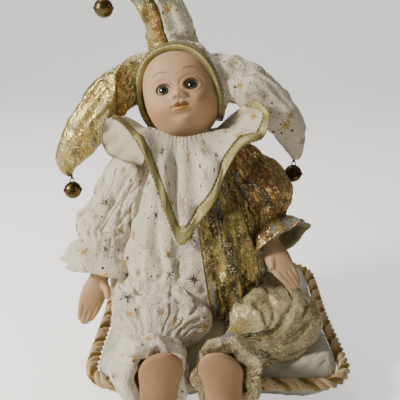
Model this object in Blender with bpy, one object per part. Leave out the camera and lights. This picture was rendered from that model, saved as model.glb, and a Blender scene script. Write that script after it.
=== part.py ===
"""A seated jester doll on its corded cushion, in metres, +Z up.

The doll faces -Y. The origin is the middle of the cushion's flat underside.
Porcelain head, hands and feet sit in a costume that is white on the doll's
right (-X) and gold brocade on its left (+X). The stuffed hat has three horns
with jingle bells, and its colours are the other way round.
"""

import math

import bmesh
import bpy
import numpy as np
from mathutils import Euler, Vector

MM = 0.001
TURN = 2 * math.pi

# Fits between the pieces.
GAP = 0.35 * MM
SEAM_GAP = 0.30 * MM
CLOTH = 1.2 * MM

# Cushion and its cord.
CUSHION_SIDE = 162 * MM
CUSHION_CORNER_RADIUS = 20 * MM
CUSHION_WAIST = 3 * MM
CUSHION_HEIGHT = 46 * MM
CUSHION_SEAM_HEIGHT = 24 * MM
CUSHION_FOOT_SHARE = 0.72
CUSHION_UNDER_SHARES = (0.84, 0.93, 0.98)
CUSHION_OVER_SHARES = (0.97, 0.90, 0.78, 0.60)
CUSHION_MIDDLE_SHARE = 0.35
CROWN_SPREAD = 3.2
CROWN_FULLNESS = 0.75
CORD_DIAMETER = 8.4 * MM
CORD_STANDOFF = 1.0 * MM
CORD_LAY = 24 * MM
CORD_GROOVE = 0.9 * MM

# Torso of the costume, and the line where its two cloths meet.
TORSO_X = -18 * MM
TORSO_HIP_HALF_WIDTH = 58 * MM
TORSO_HIP_DEPTH = 84 * MM
TORSO_BASE_Z = 36 * MM
TORSO_TOP_Z = 160 * MM
RIGHT_HIP_X = TORSO_X - TORSO_HIP_HALF_WIDTH
LEFT_HIP_X = TORSO_X + TORSO_HIP_HALF_WIDTH
SEAM_X_TOP = -21 * MM
SEAM_X_BASE = -1 * MM
TORSO_FOLDS = 9
TORSO_FOLD_DEPTH = 1.5 * MM
TORSO_ROOM_EASE = 0.5 * MM

# Head: its half sizes, and how it looks up, turns and leans to the doll's right. The hat
# looks up and leans with it but is turned further.
HEAD_CENTRE = Vector((-25.0, 13.0, 195.0)) * MM
HEAD_HALF_WIDTH = 26.5 * MM
HEAD_HALF_DEPTH = 26.5 * MM
HEAD_CROWN = 31.0 * MM
HEAD_CHIN = 33.0 * MM
HEAD_FULLNESS = 2.3
HEAD_LOOKS_UP = math.radians(22)
HEAD_TURN = math.radians(1)
HEAD_LEAN = math.radians(12)
HAT_TURN = math.radians(11)
NECK_RADIUS = 11 * MM
NECK_FLARE = 1.15
NECK_TOP_SHARE = 0.45
NECK_BACK = 3 * MM
EYE_SPACING = 21.0 * MM
EYE_DROP = 2.0 * MM
FACE_FADE = 0.45
EYE_WIDTH = 9.8 * MM
EYE_HEIGHT = 8.0 * MM
EYE_DEPTH = 8.0 * MM
EYE_PROUD = 0.7 * MM

# Hat: the wall round the skull, the rim and its ribbon, and the cap's pole.
HAT_LINING = 1.4 * MM
HAT_WALL = 2.6 * MM
HAT_POLE_TILT = math.radians(25)
RIM_MEAN = math.radians(97.7)
RIM_FRONT_RISE = math.radians(17.9)
RIM_SIDE_DROP = math.radians(20.5)
RIM_NAPE_RISE = math.radians(4.9)
HAT_TRIM_WIDTH = 4.6 * MM
HAT_TRIM_PROUD = 0.8 * MM
TRIM_MARGIN = 0.2 * MM
TRIM_ROOM_PAST_RIM = 0.3
SIDE_HORN_CLEARANCE = 14 * MM
SIDE_REACH = 130 * MM
SIDE_DEPTH = 90 * MM
SEAM_FOOT = 70 * MM
SEAM_CROWN = 14 * MM
SEAM_PAST_TIP = Vector((-60.0, 0.0, -25.0)) * MM
HORN_WRINKLE = 0.03

# Jingle bells.
BELL_DIAMETER = 12.7 * MM
BELL_WALL = 0.7 * MM
BELL_SLOT = 1.4 * MM
BELL_RIM = 0.6 * MM
BELL_HANGER_LENGTH = 5.0 * MM
BELL_HANGER_RADIUS = 0.9 * MM
BELL_SLOT_DEPTH_SHARE = 0.85
BELL_UNDER_ANGLES = (2.85, 2.285, 1.72)
BELL_OVER_ANGLES = (1.42, 0.86, 0.3)
BELL_HOLLOW_ANGLES = (2.8, 1.98, 1.17, 0.35)
BELL_SHOULDER = 0.3 * MM

# Hands, feet and what of their stubs sits inside the cloth.
WRIST_RADIUS = 6.4 * MM
FOREARM_IN_SLEEVE = 10 * MM
WRIST_REACH = 3 * MM
HAND_WIDTH = 17 * MM
HAND_THICKNESS = 9 * MM
THUMB_RADIUS = 2.9 * MM
THUMB_SHARES = (1.15, 1.0, 0.6)
ANKLE_RADIUS = 8.0 * MM
SHIN_IN_TROUSER = 10 * MM
ANKLE_REACH = 4 * MM
INSTEP_SHARE = 0.5
FOOT_LENGTH = 47 * MM
FOOT_WIDTH = 27 * MM
FOOT_THICKNESS = 13 * MM
FOOT_FRONT_Y = -109 * MM
FOOT_HEEL_Z = 16 * MM

# Collar.
COLLAR_TRIM_WIDTH = 7 * MM
COLLAR_TRIM_THICKNESS = 0.8 * MM
COLLAR_REACH = 40 * MM

# How finely the solids are faceted.
CUSHION_SIDES = 28
CORNER_BIAS = 0.13
CORD_STEPS = 52
CORD_SIDES = 6
TORSO_SIDES = 24
LIMB_SIDES = 10
STUB_SIDES = 10
HAND_STEPS = 7
THUMB_STEPS = 5
THUMB_SIDES = 8
HORN_SIDES = 12
HEAD_COLUMNS = 22
HEAD_ROWS = 16
FACE_COLUMN_BIAS = 0.55
FACE_ROW_BIAS = 0.045
FACE_ROW_PHASE = 0.6
CHIN_ROW_BIAS = 0.025
EYE_COLUMNS = 8
EYE_ROWS = 6
CAP_COLUMNS = 24
CAP_ROWS = 7
COLLAR_COLUMNS = 44
COLLAR_ROWS = 3
BELL_SIDES = 8


def clear_scene():
    for old in list(bpy.data.objects):
        bpy.data.objects.remove(old)


def material(name, colour, roughness, metallic=0.0):
    made = bpy.data.materials.new(name)
    made.use_nodes = True
    shader = made.node_tree.nodes["Principled BSDF"]
    shader.inputs["Base Color"].default_value = (*colour, 1.0)
    shader.inputs["Roughness"].default_value = roughness
    shader.inputs["Metallic"].default_value = metallic
    return made


def unit(direction):
    return direction / np.linalg.norm(direction)


def smoothstep(low, high, value):
    share = min(max((value - low) / (high - low), 0.0), 1.0)
    return share * share * (3 - 2 * share)


def bump(value, centre, width):
    return math.exp(-(((value - centre) / width) ** 2))


# Meshes


def add_object(name, shape, look):
    bmesh.ops.recalc_face_normals(shape, faces=shape.faces)
    mesh = bpy.data.meshes.new(name)
    shape.to_mesh(mesh)
    shape.free()
    made = bpy.data.objects.new(name, mesh)
    bpy.context.scene.collection.objects.link(made)
    if look:
        mesh.materials.append(look)
    mesh.shade_smooth()
    mesh.set_sharp_from_angle(angle=math.radians(50))
    return made


def loft(name, rings, look, closed=False):
    """A solid through rings of points. An open one gets a fan at each end."""
    shape = bmesh.new()
    loops = [[shape.verts.new(point) for point in ring] for ring in rings]
    sides = len(loops[0])
    pairs = list(zip(loops, loops[1:]))
    if closed:
        pairs.append((loops[-1], loops[0]))
    for lower, upper in pairs:
        for i in range(sides):
            j = (i + 1) % sides
            shape.faces.new((lower[i], lower[j], upper[j], upper[i]))
    if not closed:
        for loop in (loops[0], loops[-1]):
            middle = shape.verts.new(sum((v.co for v in loop), Vector()) / sides)
            for i in range(sides):
                shape.faces.new((loop[i], loop[(i + 1) % sides], middle))
    return add_object(name, shape, look)


def shell(name, outer, inner, look, around=False):
    """A wall between two grids of points, with an edge wherever the grids end.

    Points that coincide share a vertex, so a row may shrink to a pole. With
    around, the last column joins the first.
    """
    shape = bmesh.new()
    known = {}

    def vertex(point):
        key = tuple(round(c * 1e7) for c in point)
        if key not in known:
            known[key] = shape.verts.new(point)
        return known[key]

    def face(*points):
        corners = list(dict.fromkeys(vertex(p) for p in points))
        if len(corners) > 2:
            shape.faces.new(corners)

    rows, columns = len(outer), len(outer[0])
    spans = columns if around else columns - 1
    for r in range(rows - 1):
        for c in range(spans):
            d = (c + 1) % columns
            face(outer[r][c], outer[r][d], outer[r + 1][d], outer[r + 1][c])
            face(inner[r][c], inner[r + 1][c], inner[r + 1][d], inner[r][d])
        if not around:
            for c in (0, columns - 1):
                face(outer[r][c], outer[r + 1][c], inner[r + 1][c], inner[r][c])
    for r in (0, rows - 1):
        for c in range(spans):
            d = (c + 1) % columns
            face(outer[r][c], outer[r][d], inner[r][d], inner[r][c])
    return add_object(name, shape, look)


def cutter(made):
    made.hide_render = True
    made.display_type = "WIRE"
    return made


def boolean(target, other, operation):
    change = target.modifiers.new(f"{operation.lower()} {other.name}", "BOOLEAN")
    change.operation = operation
    change.object = other
    return target


def cut(target, *cutters):
    for other in cutters:
        boolean(target, other, "DIFFERENCE")
    return target


def smooth(points, count, closed=False):
    """Rows along a Catmull-Rom curve through the given rows of numbers."""
    known = np.array(points, float)
    last = len(known) if closed else len(known) - 1
    found = []
    for s in np.linspace(0, last, count, endpoint=not closed):
        i = min(int(s), last - 1)
        f = s - i
        if closed:
            a, b, c, d = (known[k % len(known)] for k in range(i - 1, i + 3))
        else:
            a, b, c, d = (known[min(max(k, 0), last)] for k in range(i - 1, i + 3))
        square, cube = f * f, f * f * f
        found.append(
            0.5
            * (
                2 * b
                + (c - a) * f
                + (2 * a - 5 * b + 4 * c - d) * square
                + (3 * b - a - 3 * c + d) * cube
            )
        )
    return np.array(found)


def section(centre, along, reference, side_radius, up_radius, sides, wave=None):
    """An oval ring across a line. The reference direction steers where it starts."""
    side = unit(np.cross(along, reference))
    up = unit(np.cross(side, along))
    ring = []
    for k in range(sides):
        t = TURN * k / sides
        swell = 1 + (wave(t) if wave else 0.0)
        offset = side * side_radius * math.cos(t) + up * up_radius * math.sin(t)
        ring.append(Vector(centre + offset * swell))
    return ring


def directions(places, facing=None):
    """The way each ring faces: along the line, or all one way where the line bends sharply."""
    along = np.gradient(places, axis=0)
    return along if facing is None else np.array([facing] * len(along), float)


def tube_rings(rows, reference, sides, grow=0.0, wave=None, facing=None):
    """Oval rings for rows of place, side radius and up radius. wave(share, angle) ruffles them."""
    rows = np.array(rows)
    places = rows[:, :3]
    along = directions(places, facing)
    rings = []
    for i, row in enumerate(rows):
        share = i / (len(rows) - 1)
        ripple = (lambda t, s=share: wave(s, t)) if wave else None
        rings.append(
            section(
                places[i], along[i], reference, row[3] + grow, row[4] + grow, sides, ripple
            )
        )
    return rings


def tube(name, rows, reference, sides, look, grow=0.0, wave=None):
    return loft(name, tube_rings(rows, reference, sides, grow, wave), look)


def line_of(rows, side_x=0.0):
    """Rows in millimetres as metres, with their x measured from one side of the hips, if given."""
    line = np.array(rows, float) * MM
    line[:, 0] += side_x
    return line


# Cushion


def cushion_outline(share, sides, grow=0.0):
    """A square with round corners, drawn in a little at the middle of each edge."""
    half = CUSHION_SIDE / 2
    straight = half - CUSHION_CORNER_RADIUS
    points = []
    for i in range(sides):
        t = TURN * (i + 0.5) / sides
        t += CORNER_BIAS * math.sin(4 * t)
        across, away = math.cos(t), math.sin(t)
        reach = max(abs(across), abs(away))
        x, y = half * across / reach, half * away / reach
        corner_x, corner_y = abs(x) - straight, abs(y) - straight
        if corner_x > 0 and corner_y > 0:
            shrink = CUSHION_CORNER_RADIUS / math.hypot(corner_x, corner_y)
            x = math.copysign(straight + corner_x * shrink, x)
            y = math.copysign(straight + corner_y * shrink, y)
        distance = math.hypot(x, y)
        waist = CUSHION_WAIST * math.cos(2 * t) ** 2
        scale = ((distance - waist) * share + grow) / distance
        points.append((x * scale, y * scale))
    return points


def cushion_rings(grow=0.0):
    seam = CUSHION_SEAM_HEIGHT
    sole = CUSHION_FOOT_SHARE
    levels = []
    for share in (CUSHION_MIDDLE_SHARE, sole, *CUSHION_UNDER_SHARES):
        rise = max(0.0, (share - sole) / (1 - sole))
        levels.append((share, seam * (1 - math.sqrt(1 - rise**2)) - grow))
    levels.append((1.0, seam))
    for share in (*CUSHION_OVER_SHARES, CUSHION_MIDDLE_SHARE):
        crown = (1 - share**CROWN_SPREAD) ** CROWN_FULLNESS
        levels.append((share, seam + (CUSHION_HEIGHT - seam) * crown + grow))
    return [
        [Vector((x, y, z)) for x, y in cushion_outline(share, CUSHION_SIDES, grow)]
        for share, z in levels
    ]


def cord_rings(radius, twisted):
    """The cord lies round the seam; its three strands make the section a rounded triangle."""
    offset = CORD_DIAMETER / 2 + CORD_STANDOFF
    route = [
        Vector((x, y, CUSHION_SEAM_HEIGHT)) for x, y in cushion_outline(1.0, CORD_STEPS, offset)
    ]
    length = sum((b - a).length for a, b in zip(route, route[1:] + route[:1]))
    turns = round(length / CORD_LAY)
    rings = []
    for i, point in enumerate(route):
        along = route[(i + 1) % CORD_STEPS] - route[i - 1]
        outward = along.cross(Vector((0, 0, 1))).normalized()
        ring = []
        for k in range(CORD_SIDES):
            t = TURN * k / CORD_SIDES
            lobe = math.cos(3 * t - TURN * turns * i / CORD_STEPS) if twisted else 1.0
            reach = radius - CORD_GROOVE * (1 - lobe) / 2
            upward = Vector((0, 0, 1)) * math.sin(t)
            ring.append(point + (outward * math.cos(t) + upward) * reach)
        rings.append(ring)
    return rings


def build_cushion(look, cord_look):
    """The cushion, its cord, and the room that both need."""
    loft("cushion", cushion_rings(), look)
    loft("cushion_cord", cord_rings(CORD_DIAMETER / 2, True), cord_look, closed=True)
    room = cutter(loft("cushion_room", cushion_rings(GAP), None))
    cord_room = cutter(
        loft("cord_room", cord_rings(CORD_DIAMETER / 2 + GAP, False), None, closed=True)
    )
    return room, cord_room


# Costume: torso. Each level gives shares of the height, the hip's half-width and half-depth,
# and how far forward the middle lies, as a share of the half-depth.

TORSO_LEVELS = (
    (0.00, 0.88, 0.90, 0.00),
    (0.10, 1.00, 1.04, 0.04),
    (0.28, 0.96, 1.02, 0.06),
    (0.46, 0.86, 0.90, 0.02),
    (0.64, 0.75, 0.78, -0.06),
    (0.82, 0.66, 0.62, -0.15),
    (0.94, 0.52, 0.46, -0.22),
    (1.00, 0.36, 0.34, -0.25),
)
TORSO_SQUARENESS = 0.85


def torso_section(level, grow=0.0):
    height, wide, deep, forward = level
    z = TORSO_BASE_Z + (TORSO_TOP_Z - TORSO_BASE_Z) * height
    half_depth = TORSO_HIP_DEPTH / 2
    return z, TORSO_HIP_HALF_WIDTH * wide + grow, half_depth * deep + grow, -half_depth * forward


def signed_power(value, power):
    return math.copysign(abs(value) ** power, value)


def torso_point(level, t, grow=0.0):
    """A point of the torso's wall: t is 0 at +X, a quarter turn at the front, half at -X."""
    z, half_width, half_depth, y = torso_section(level, grow)
    fold = TORSO_FOLD_DEPTH * (1 - level[0]) * math.sin(TORSO_FOLDS * t + 3 * level[0])
    across = (half_width + fold) * signed_power(math.cos(t), TORSO_SQUARENESS)
    away = (half_depth + fold) * signed_power(math.sin(t), TORSO_SQUARENESS)
    return Vector((TORSO_X + across, y - away, z))


def torso_half(name, look, to_white):
    rings = []
    for level in TORSO_LEVELS:
        _, half_width, _, _ = torso_section(level)
        edge = SEAM_X_BASE + (SEAM_X_TOP - SEAM_X_BASE) * level[0]
        edge += -SEAM_GAP / 2 if to_white else SEAM_GAP / 2
        turn = math.acos(signed_power((edge - TORSO_X) / half_width, 1 / TORSO_SQUARENESS))
        turns = (turn, TURN - turn) if to_white else (-turn, turn)
        ring = [torso_point(level, t) for t in np.linspace(*turns, TORSO_SIDES // 2 + 1)]
        ring[0].x = ring[-1].x = edge
        rings.append(ring)
    return loft(name, rings, look)


def build_torso(white, gold):
    halves = [torso_half("tunic_white", white, True), torso_half("tunic_gold", gold, False)]
    turns = np.linspace(0, TURN, 2 * TORSO_SIDES, endpoint=False)
    grow = GAP + TORSO_ROOM_EASE
    rings = [[torso_point(level, t, grow) for t in turns] for level in TORSO_LEVELS]
    return halves, cutter(loft("torso_room", rings, None))


# Sleeves and trouser legs. Each row gives a place on the middle line and the two half-widths
# there, in millimetres. A sleeve's places are measured sideways from its side of the hips.
# GATHER is the row of the elastic; the rows after it are the ruffle.

WHITE_SLEEVE = line_of(
    (
        (30, 9, 153, 11, 12),
        (18, 6, 138, 17, 17),
        (7, 2, 118, 22, 20),
        (-1, -2, 100, 26, 22),
        (-3, -6, 87, 21, 18),
        (-5, -8, 79.5, 27, 22),
        (-6, -9, 72, 30, 24),
    ),
    RIGHT_HIP_X,
)
GOLD_SLEEVE = line_of(
    (
        (-30, 9, 156, 11, 12),
        (-20, 5, 143, 15, 16),
        (-10, 0, 129, 19, 19),
        (-5, -4, 117, 18, 18),
        (-3, -8, 107, 13, 13),
        (1, -13, 100, 19, 17),
        (6, -20, 94, 23, 19),
    ),
    LEFT_HIP_X,
)
WHITE_LEG = line_of(
    (
        (-46, -8, 58, 25, 17),
        (-45, -26, 58, 30, 18),
        (-42, -46, 57, 33, 18),
        (-40, -62, 53, 32, 18),
        (-41, -75, 47, 18, 13),
        (-43, -86, 45, 24, 18),
        (-44, -94, 41, 25.5, 28),
        (-39, -102, 39.5, 19.5, 27.5),
    )
)
GOLD_LEG = line_of(
    (
        (20, -6, 54, 24, 15),
        (37, -24, 52, 30, 16),
        (38, -47, 49, 33, 17),
        (27, -68, 41, 30, 18),
        (6, -80, 44, 14, 12),
        (4, -87, 45, 18, 16),
        (7, -95, 41, 20.5, 27),
        (4, -102, 39, 20, 27.5),
    )
)
GATHER = 4
STEPS_PER_ROW = 2
RUFFLE_WAVES = 7
RUFFLE_DEPTH = 0.07
PUFF_FOLDS = 5
PUFF_DEPTH = 0.035


def cloth_wave(share, t, drawn_in):
    """Folds of the puff and waves of the ruffle, as a share of the half-width."""
    ruffle = RUFFLE_DEPTH * smoothstep(drawn_in, 1.0, share) * math.cos(RUFFLE_WAVES * t)
    puff = smoothstep(drawn_in, 0.4 * drawn_in, share) * math.cos(PUFF_FOLDS * t + 7 * share)
    return ruffle + PUFF_DEPTH * puff


def limb_line(rows):
    return smooth(rows, STEPS_PER_ROW * (len(rows) - 1) + 1)


def cloth_rings(rows, reference, facing, grow):
    drawn_in = GATHER / (len(rows) - 1)
    wave = lambda share, t: cloth_wave(share, t, drawn_in)
    return tube_rings(limb_line(rows), reference, LIMB_SIDES, grow, wave, facing)


def gathered_cloth(name, rows, reference, stub_radius, stub_depth, look, facing=None):
    """A stuffed puff, drawn in at the elastic, with a hollow ruffle and a pocket for the stub."""
    outside = cloth_rings(rows, reference, facing, 0.0)
    inside = cloth_rings(rows, reference, facing, -CLOTH)[: STEPS_PER_ROW * GATHER : -1]
    steps = (0.0, -stub_depth - GAP)
    pocket = stub_rings(rows, reference, stub_radius + GAP, steps, LIMB_SIDES, facing)
    return loft(name, outside + inside + pocket, look)


def stub_rings(rows, reference, radius, steps, sides, facing):
    """Round rings at steps along the limb's middle line, counted outwards from the elastic."""
    line = limb_line(rows)
    gather = STEPS_PER_ROW * GATHER
    face = unit(directions(line[:, :3], facing)[gather])
    outward = unit(line[gather + STEPS_PER_ROW, :3] - line[gather, :3])
    return [
        section(line[gather, :3] + outward * step, face, reference, radius, radius, sides)
        for step in steps
    ]


def stub(rows, reference, radius, depth, reach, facing=None):
    """The forearm or shin, from inside its pocket to a reach past the elastic."""
    steps = (-depth, 0.0, reach)
    return stub_rings(rows, reference, radius, steps, STUB_SIDES, facing)


# Hands and feet

SIDEWAYS = (1, 0, 0)
FORWARDS = (0, -1, 0)
UPWARDS = (0, 0, 1)
RIGHT_HAND = ((-9, -13, 67), (-14, -19, 53), (-18, -23, 42), (-21, -25, 33))
LEFT_HAND = ((-2, -19, 94), (2, -26, 86), (8, -32, 77), (15, -37, 69))
HAND_WIDTHS = (0.72, 1.0, 0.86, 0.36)
HAND_DEPTHS = (1.0, 0.9, 0.66, 0.4)
RIGHT_THUMB = ((-8, -15, 62), (-4, -21, 58), (-2.5, -26, 54))
LEFT_THUMB = ((-1, -23, 89), (-2, -29, 85), (-2, -33, 80.5))
RIGHT_PALM = (0.2, -1.0, 0.2)
LEFT_PALM = (-0.2, -0.5, 1.0)
FINGER_GROOVE = 0.06


def build_hand(name, sleeve, side_x, places, thumb, palm, look):
    """A hand on its forearm. Its places are measured sideways from one side of the hips."""
    wrist = stub(sleeve, palm, WRIST_RADIUS, FOREARM_IN_SLEEVE, WRIST_REACH)
    sizes = [
        (w * HAND_WIDTH / 2 / MM, d * HAND_THICKNESS / 2 / MM)
        for w, d in zip(HAND_WIDTHS, HAND_DEPTHS)
    ]
    rows = smooth(line_of([place + size for place, size in zip(places, sizes)], side_x), HAND_STEPS)
    fingers = tube_rings(
        rows,
        palm,
        STUB_SIDES,
        wave=lambda share, t: FINGER_GROOVE * share * math.cos(8 * t) * math.sin(t) ** 2,
    )
    hand = loft(name, wrist + fingers, look)
    thumb_rows = line_of([place + (size, size) for place, size in zip(thumb, THUMB_SHARES)], side_x)
    thumb_rows[:, 3:] *= THUMB_RADIUS / MM
    tool = cutter(tube(f"{name}_thumb", smooth(thumb_rows, THUMB_STEPS), palm, THUMB_SIDES, None))
    return boolean(hand, tool, "UNION")


RIGHT_FOOT_X = -38 * MM
LEFT_FOOT_X = 3 * MM
TOE_TURN_IN = 5.5 * MM

# Along the sole from heel to toes: share of the length, of the width and of the thickness.
SOLE_LEVELS = (
    (0.00, 0.45, 0.50),
    (0.08, 0.72, 0.82),
    (0.24, 0.84, 1.00),
    (0.45, 0.88, 0.92),
    (0.66, 1.00, 0.74),
    (0.82, 0.92, 0.56),
    (0.93, 0.66, 0.42),
    (1.00, 0.30, 0.24),
)


def build_foot(name, leg, x, inward, look):
    rings = []
    for share, wide, deep in SOLE_LEVELS:
        half_width = wide * FOOT_WIDTH / 2
        half_depth = deep * FOOT_THICKNESS / 2
        centre = (
            x + inward * TOE_TURN_IN * share**2,
            FOOT_FRONT_Y + half_depth,
            FOOT_HEEL_Z + FOOT_LENGTH * share,
        )
        rings.append(
            section(np.array(centre), UPWARDS, SIDEWAYS, half_depth, half_width, LIMB_SIDES)
        )
    foot = loft(name, rings, look)
    shin = stub(leg, UPWARDS, ANKLE_RADIUS, SHIN_IN_TROUSER, ANKLE_REACH, FORWARDS)
    instep_z = FOOT_HEEL_Z + INSTEP_SHARE * FOOT_LENGTH
    instep = np.array((x, FOOT_FRONT_Y + FOOT_THICKNESS / 2, instep_z))
    shin.append(section(instep, FORWARDS, UPWARDS, ANKLE_RADIUS, ANKLE_RADIUS, STUB_SIDES))
    return boolean(foot, cutter(loft(f"{name}_shin", shin, None)), "UNION")


# Head. It is modelled round its own centre, looking along -Y, and then turned into place.


def placed(turn):
    place = Euler((-HEAD_LOOKS_UP, -HEAD_LEAN, -turn)).to_matrix().to_4x4()
    place.translation = HEAD_CENTRE
    return place


HEAD_PLACE = placed(HEAD_TURN)
HAT_PLACE = placed(HAT_TURN)

# Features: side place (mirrored when not 0), height, widths across and up, and how far proud.
FACE = (
    (0.0, 12.0, 15.0, 9.0, 0.8),
    (10.5, -2.0, 6.0, 4.6, -1.6),
    (14.0, -13.5, 7.0, 7.0, 1.8),
    (0.0, -3.0, 3.2, 5.0, 1.0),
    (0.0, -8.3, 3.0, 2.6, 4.0),
    (3.4, -9.2, 1.6, 1.7, 1.5),
    (0.0, -15.0, 8.0, 5.0, 2.0),
    (2.0, -14.0, 2.6, 1.2, 1.1),
    (0.0, -15.7, 5.5, 0.7, -1.0),
    (0.0, -17.4, 3.8, 1.3, 1.2),
    (0.0, -20.2, 5.0, 1.6, -1.0),
    (0.0, -25.0, 6.0, 4.0, 2.2),
)


def skull_radius(direction, grow=0.0):
    x, y, z = direction
    height = HEAD_CROWN if z > 0 else HEAD_CHIN
    halves = (HEAD_HALF_WIDTH, HEAD_HALF_DEPTH, height)
    total = sum(abs(c / half) ** HEAD_FULLNESS for c, half in zip((x, y, z), halves))
    return total ** (-1 / HEAD_FULLNESS) + grow


def face_relief(x, z):
    """How far the face stands proud of the plain skull at a place, in metres."""
    x, z = abs(x) / MM, z / MM
    total = 0.0
    for side, height, wide, tall, proud in FACE:
        total += proud * bump(x, side, wide) * bump(z, height, tall)
    return total * MM


def head_point(direction):
    point = direction * skull_radius(direction)
    frontness = smoothstep(0.0, FACE_FADE, -direction.y)
    point.y -= face_relief(point.x, point.z) * frontness
    return HEAD_PLACE @ point


def head_grid():
    """Columns lie closer together over the face, rows closer together from eyes to chin."""
    rings = []
    for r in range(1, HEAD_ROWS):
        s = r / HEAD_ROWS
        crowded = FACE_ROW_BIAS * math.sin(TURN * s + FACE_ROW_PHASE)
        polar = math.pi * (s + crowded - CHIN_ROW_BIAS * (1 - s))
        ring = []
        for c in range(HEAD_COLUMNS):
            a = TURN * c / HEAD_COLUMNS
            azimuth = a - FACE_COLUMN_BIAS * math.sin(a)
            flat = math.sin(polar)
            direction = Vector(
                (math.sin(azimuth) * flat, -math.cos(azimuth) * flat, -math.cos(polar))
            )
            ring.append(head_point(direction.normalized()))
        rings.append(ring)
    return rings


def eye_ball(name, side, grow, look):
    half = Vector((EYE_WIDTH, EYE_DEPTH, EYE_HEIGHT)) / 2
    toward = Vector((side * EYE_SPACING / 2, -HEAD_HALF_DEPTH, -EYE_DROP))
    front = head_point(toward.normalized())
    middle = HEAD_PLACE.inverted() @ front
    middle.x = side * EYE_SPACING / 2
    middle.y += half.y - EYE_PROUD
    rings = []
    for r in range(1, EYE_ROWS):
        polar = math.pi * r / EYE_ROWS
        ring = []
        for c in range(EYE_COLUMNS):
            a = TURN * c / EYE_COLUMNS
            spot = Vector(
                (
                    (half.x + grow) * math.sin(polar) * math.cos(a),
                    -(half.y + grow) * math.cos(polar),
                    (half.z + grow) * math.sin(polar) * math.sin(a),
                )
            )
            ring.append(HEAD_PLACE @ (middle + spot))
        rings.append(ring)
    return loft(name, rings, look)


def build_head(look, eye_look):
    head = loft("head", head_grid(), look)
    neck_top = HEAD_CENTRE - Vector((0, 0, NECK_TOP_SHARE * HEAD_CHIN))
    neck_foot = Vector((HEAD_CENTRE.x, HEAD_CENTRE.y - NECK_BACK, TORSO_TOP_Z + GAP))
    neck_rings = [
        section(np.array(place), UPWARDS, SIDEWAYS, radius, radius, LIMB_SIDES)
        for place, radius in ((neck_foot, NECK_RADIUS * NECK_FLARE), (neck_top, NECK_RADIUS))
    ]
    boolean(head, cutter(loft("neck", neck_rings, None)), "UNION")
    for name, side in (("eye_right", -1), ("eye_left", 1)):
        socket = cutter(eye_ball(f"{name}_socket", side, GAP, None))
        eye_ball(name, side, 0.0, eye_look)
        cut(head, socket)
    return head


# Hat


def cap_direction(t, polar):
    """A direction from the head's centre, by the angle round the cap's pole and away from it."""
    pole = Vector((0, math.sin(HAT_POLE_TILT), math.cos(HAT_POLE_TILT)))
    front = Vector((0, -math.cos(HAT_POLE_TILT), math.sin(HAT_POLE_TILT)))
    sideways = front * math.cos(t) + Vector((1, 0, 0)) * math.sin(t)
    return pole * math.cos(polar) + sideways * math.sin(polar)


def rim_polar(t):
    rise = RIM_FRONT_RISE * math.cos(t) + RIM_SIDE_DROP * math.cos(2 * t)
    return RIM_MEAN - rise + RIM_NAPE_RISE * math.cos(3 * t)


def cap_grid(grow, on_trim=False, margin=0.0, past=0.0):
    """Points over the skull, from the cap's pole to its ribbon, or over the ribbon at the rim.

    The ribbon's room takes a margin above it and goes past the rim.
    """
    rows = 2 if on_trim else CAP_ROWS
    ribbon = HAT_TRIM_WIDTH / HEAD_HALF_DEPTH
    gap = (GAP - margin) / HEAD_HALF_DEPTH
    grid = []
    for r in range(rows):
        share = r / (rows - 1)
        row = []
        for c in range(CAP_COLUMNS):
            t = TURN * c / CAP_COLUMNS
            edge = rim_polar(t) - ribbon
            if on_trim:
                polar = edge + gap + (ribbon - gap + past) * share
            else:
                polar = edge * share
            direction = cap_direction(t, polar)
            row.append(HAT_PLACE @ (direction * skull_radius(direction, grow)))
        grid.append(row)
    return grid


RIGHT_HORN = (
    (-36, 24, 203, 16, 13),
    (-51, 21, 206, 15, 13),
    (-70, 10, 197, 15.5, 15),
    (-88, 10, 175, 14.5, 14),
    (-99, 10, 160, 12.5, 12),
    (-108, 10, 147, 8.5, 8.5),
    (-107, 10, 140, 4.5, 4.5),
    (-106, 10, 136, 2.6, 2.6),
)
LEFT_HORN = (
    (-12, 22, 203, 17, 13),
    (2, 19, 205, 16, 13),
    (20, 10, 202, 15.5, 15),
    (39, 10, 185, 13.5, 13),
    (50, 10, 171, 11.5, 11),
    (54, 10, 159, 8, 8),
    (55.5, 10, 152, 4.5, 4.5),
    (56, 10, 148.5, 2.6, 2.6),
)
TOP_HORN = (
    (-28, 31, 212, 20, 13),
    (-31, 27, 228, 18, 14),
    (-35, 19, 246, 17, 15.5),
    (-45, 11, 260, 13.5, 13),
    (-59, 10, 269, 9.5, 9.5),
    (-71, 10, 270, 6, 6),
    (-76, 10, 264.5, 3, 3),
)
HORN_STEPS = 11
SEAM_POINTS = 7


def horn(name, rows):
    wrinkles = lambda share, t: HORN_WRINKLE * math.sin(3 * t + 14 * share) * math.sin(math.pi * share)
    line = smooth(line_of(rows), HORN_STEPS)
    return cutter(tube(name, line, FORWARDS, HORN_SIDES, None, wave=wrinkles))


def horn_end(rows):
    """The lowest point under the middle of a horn's end, where its bell hangs."""
    line = smooth(line_of(rows), HORN_STEPS)
    along = unit(line[-1, :3] - line[-2, :3])
    return Vector(line[-1, :3]) - Vector((0, 0, line[-1, 4] * math.hypot(along[0], along[1])))


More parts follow.
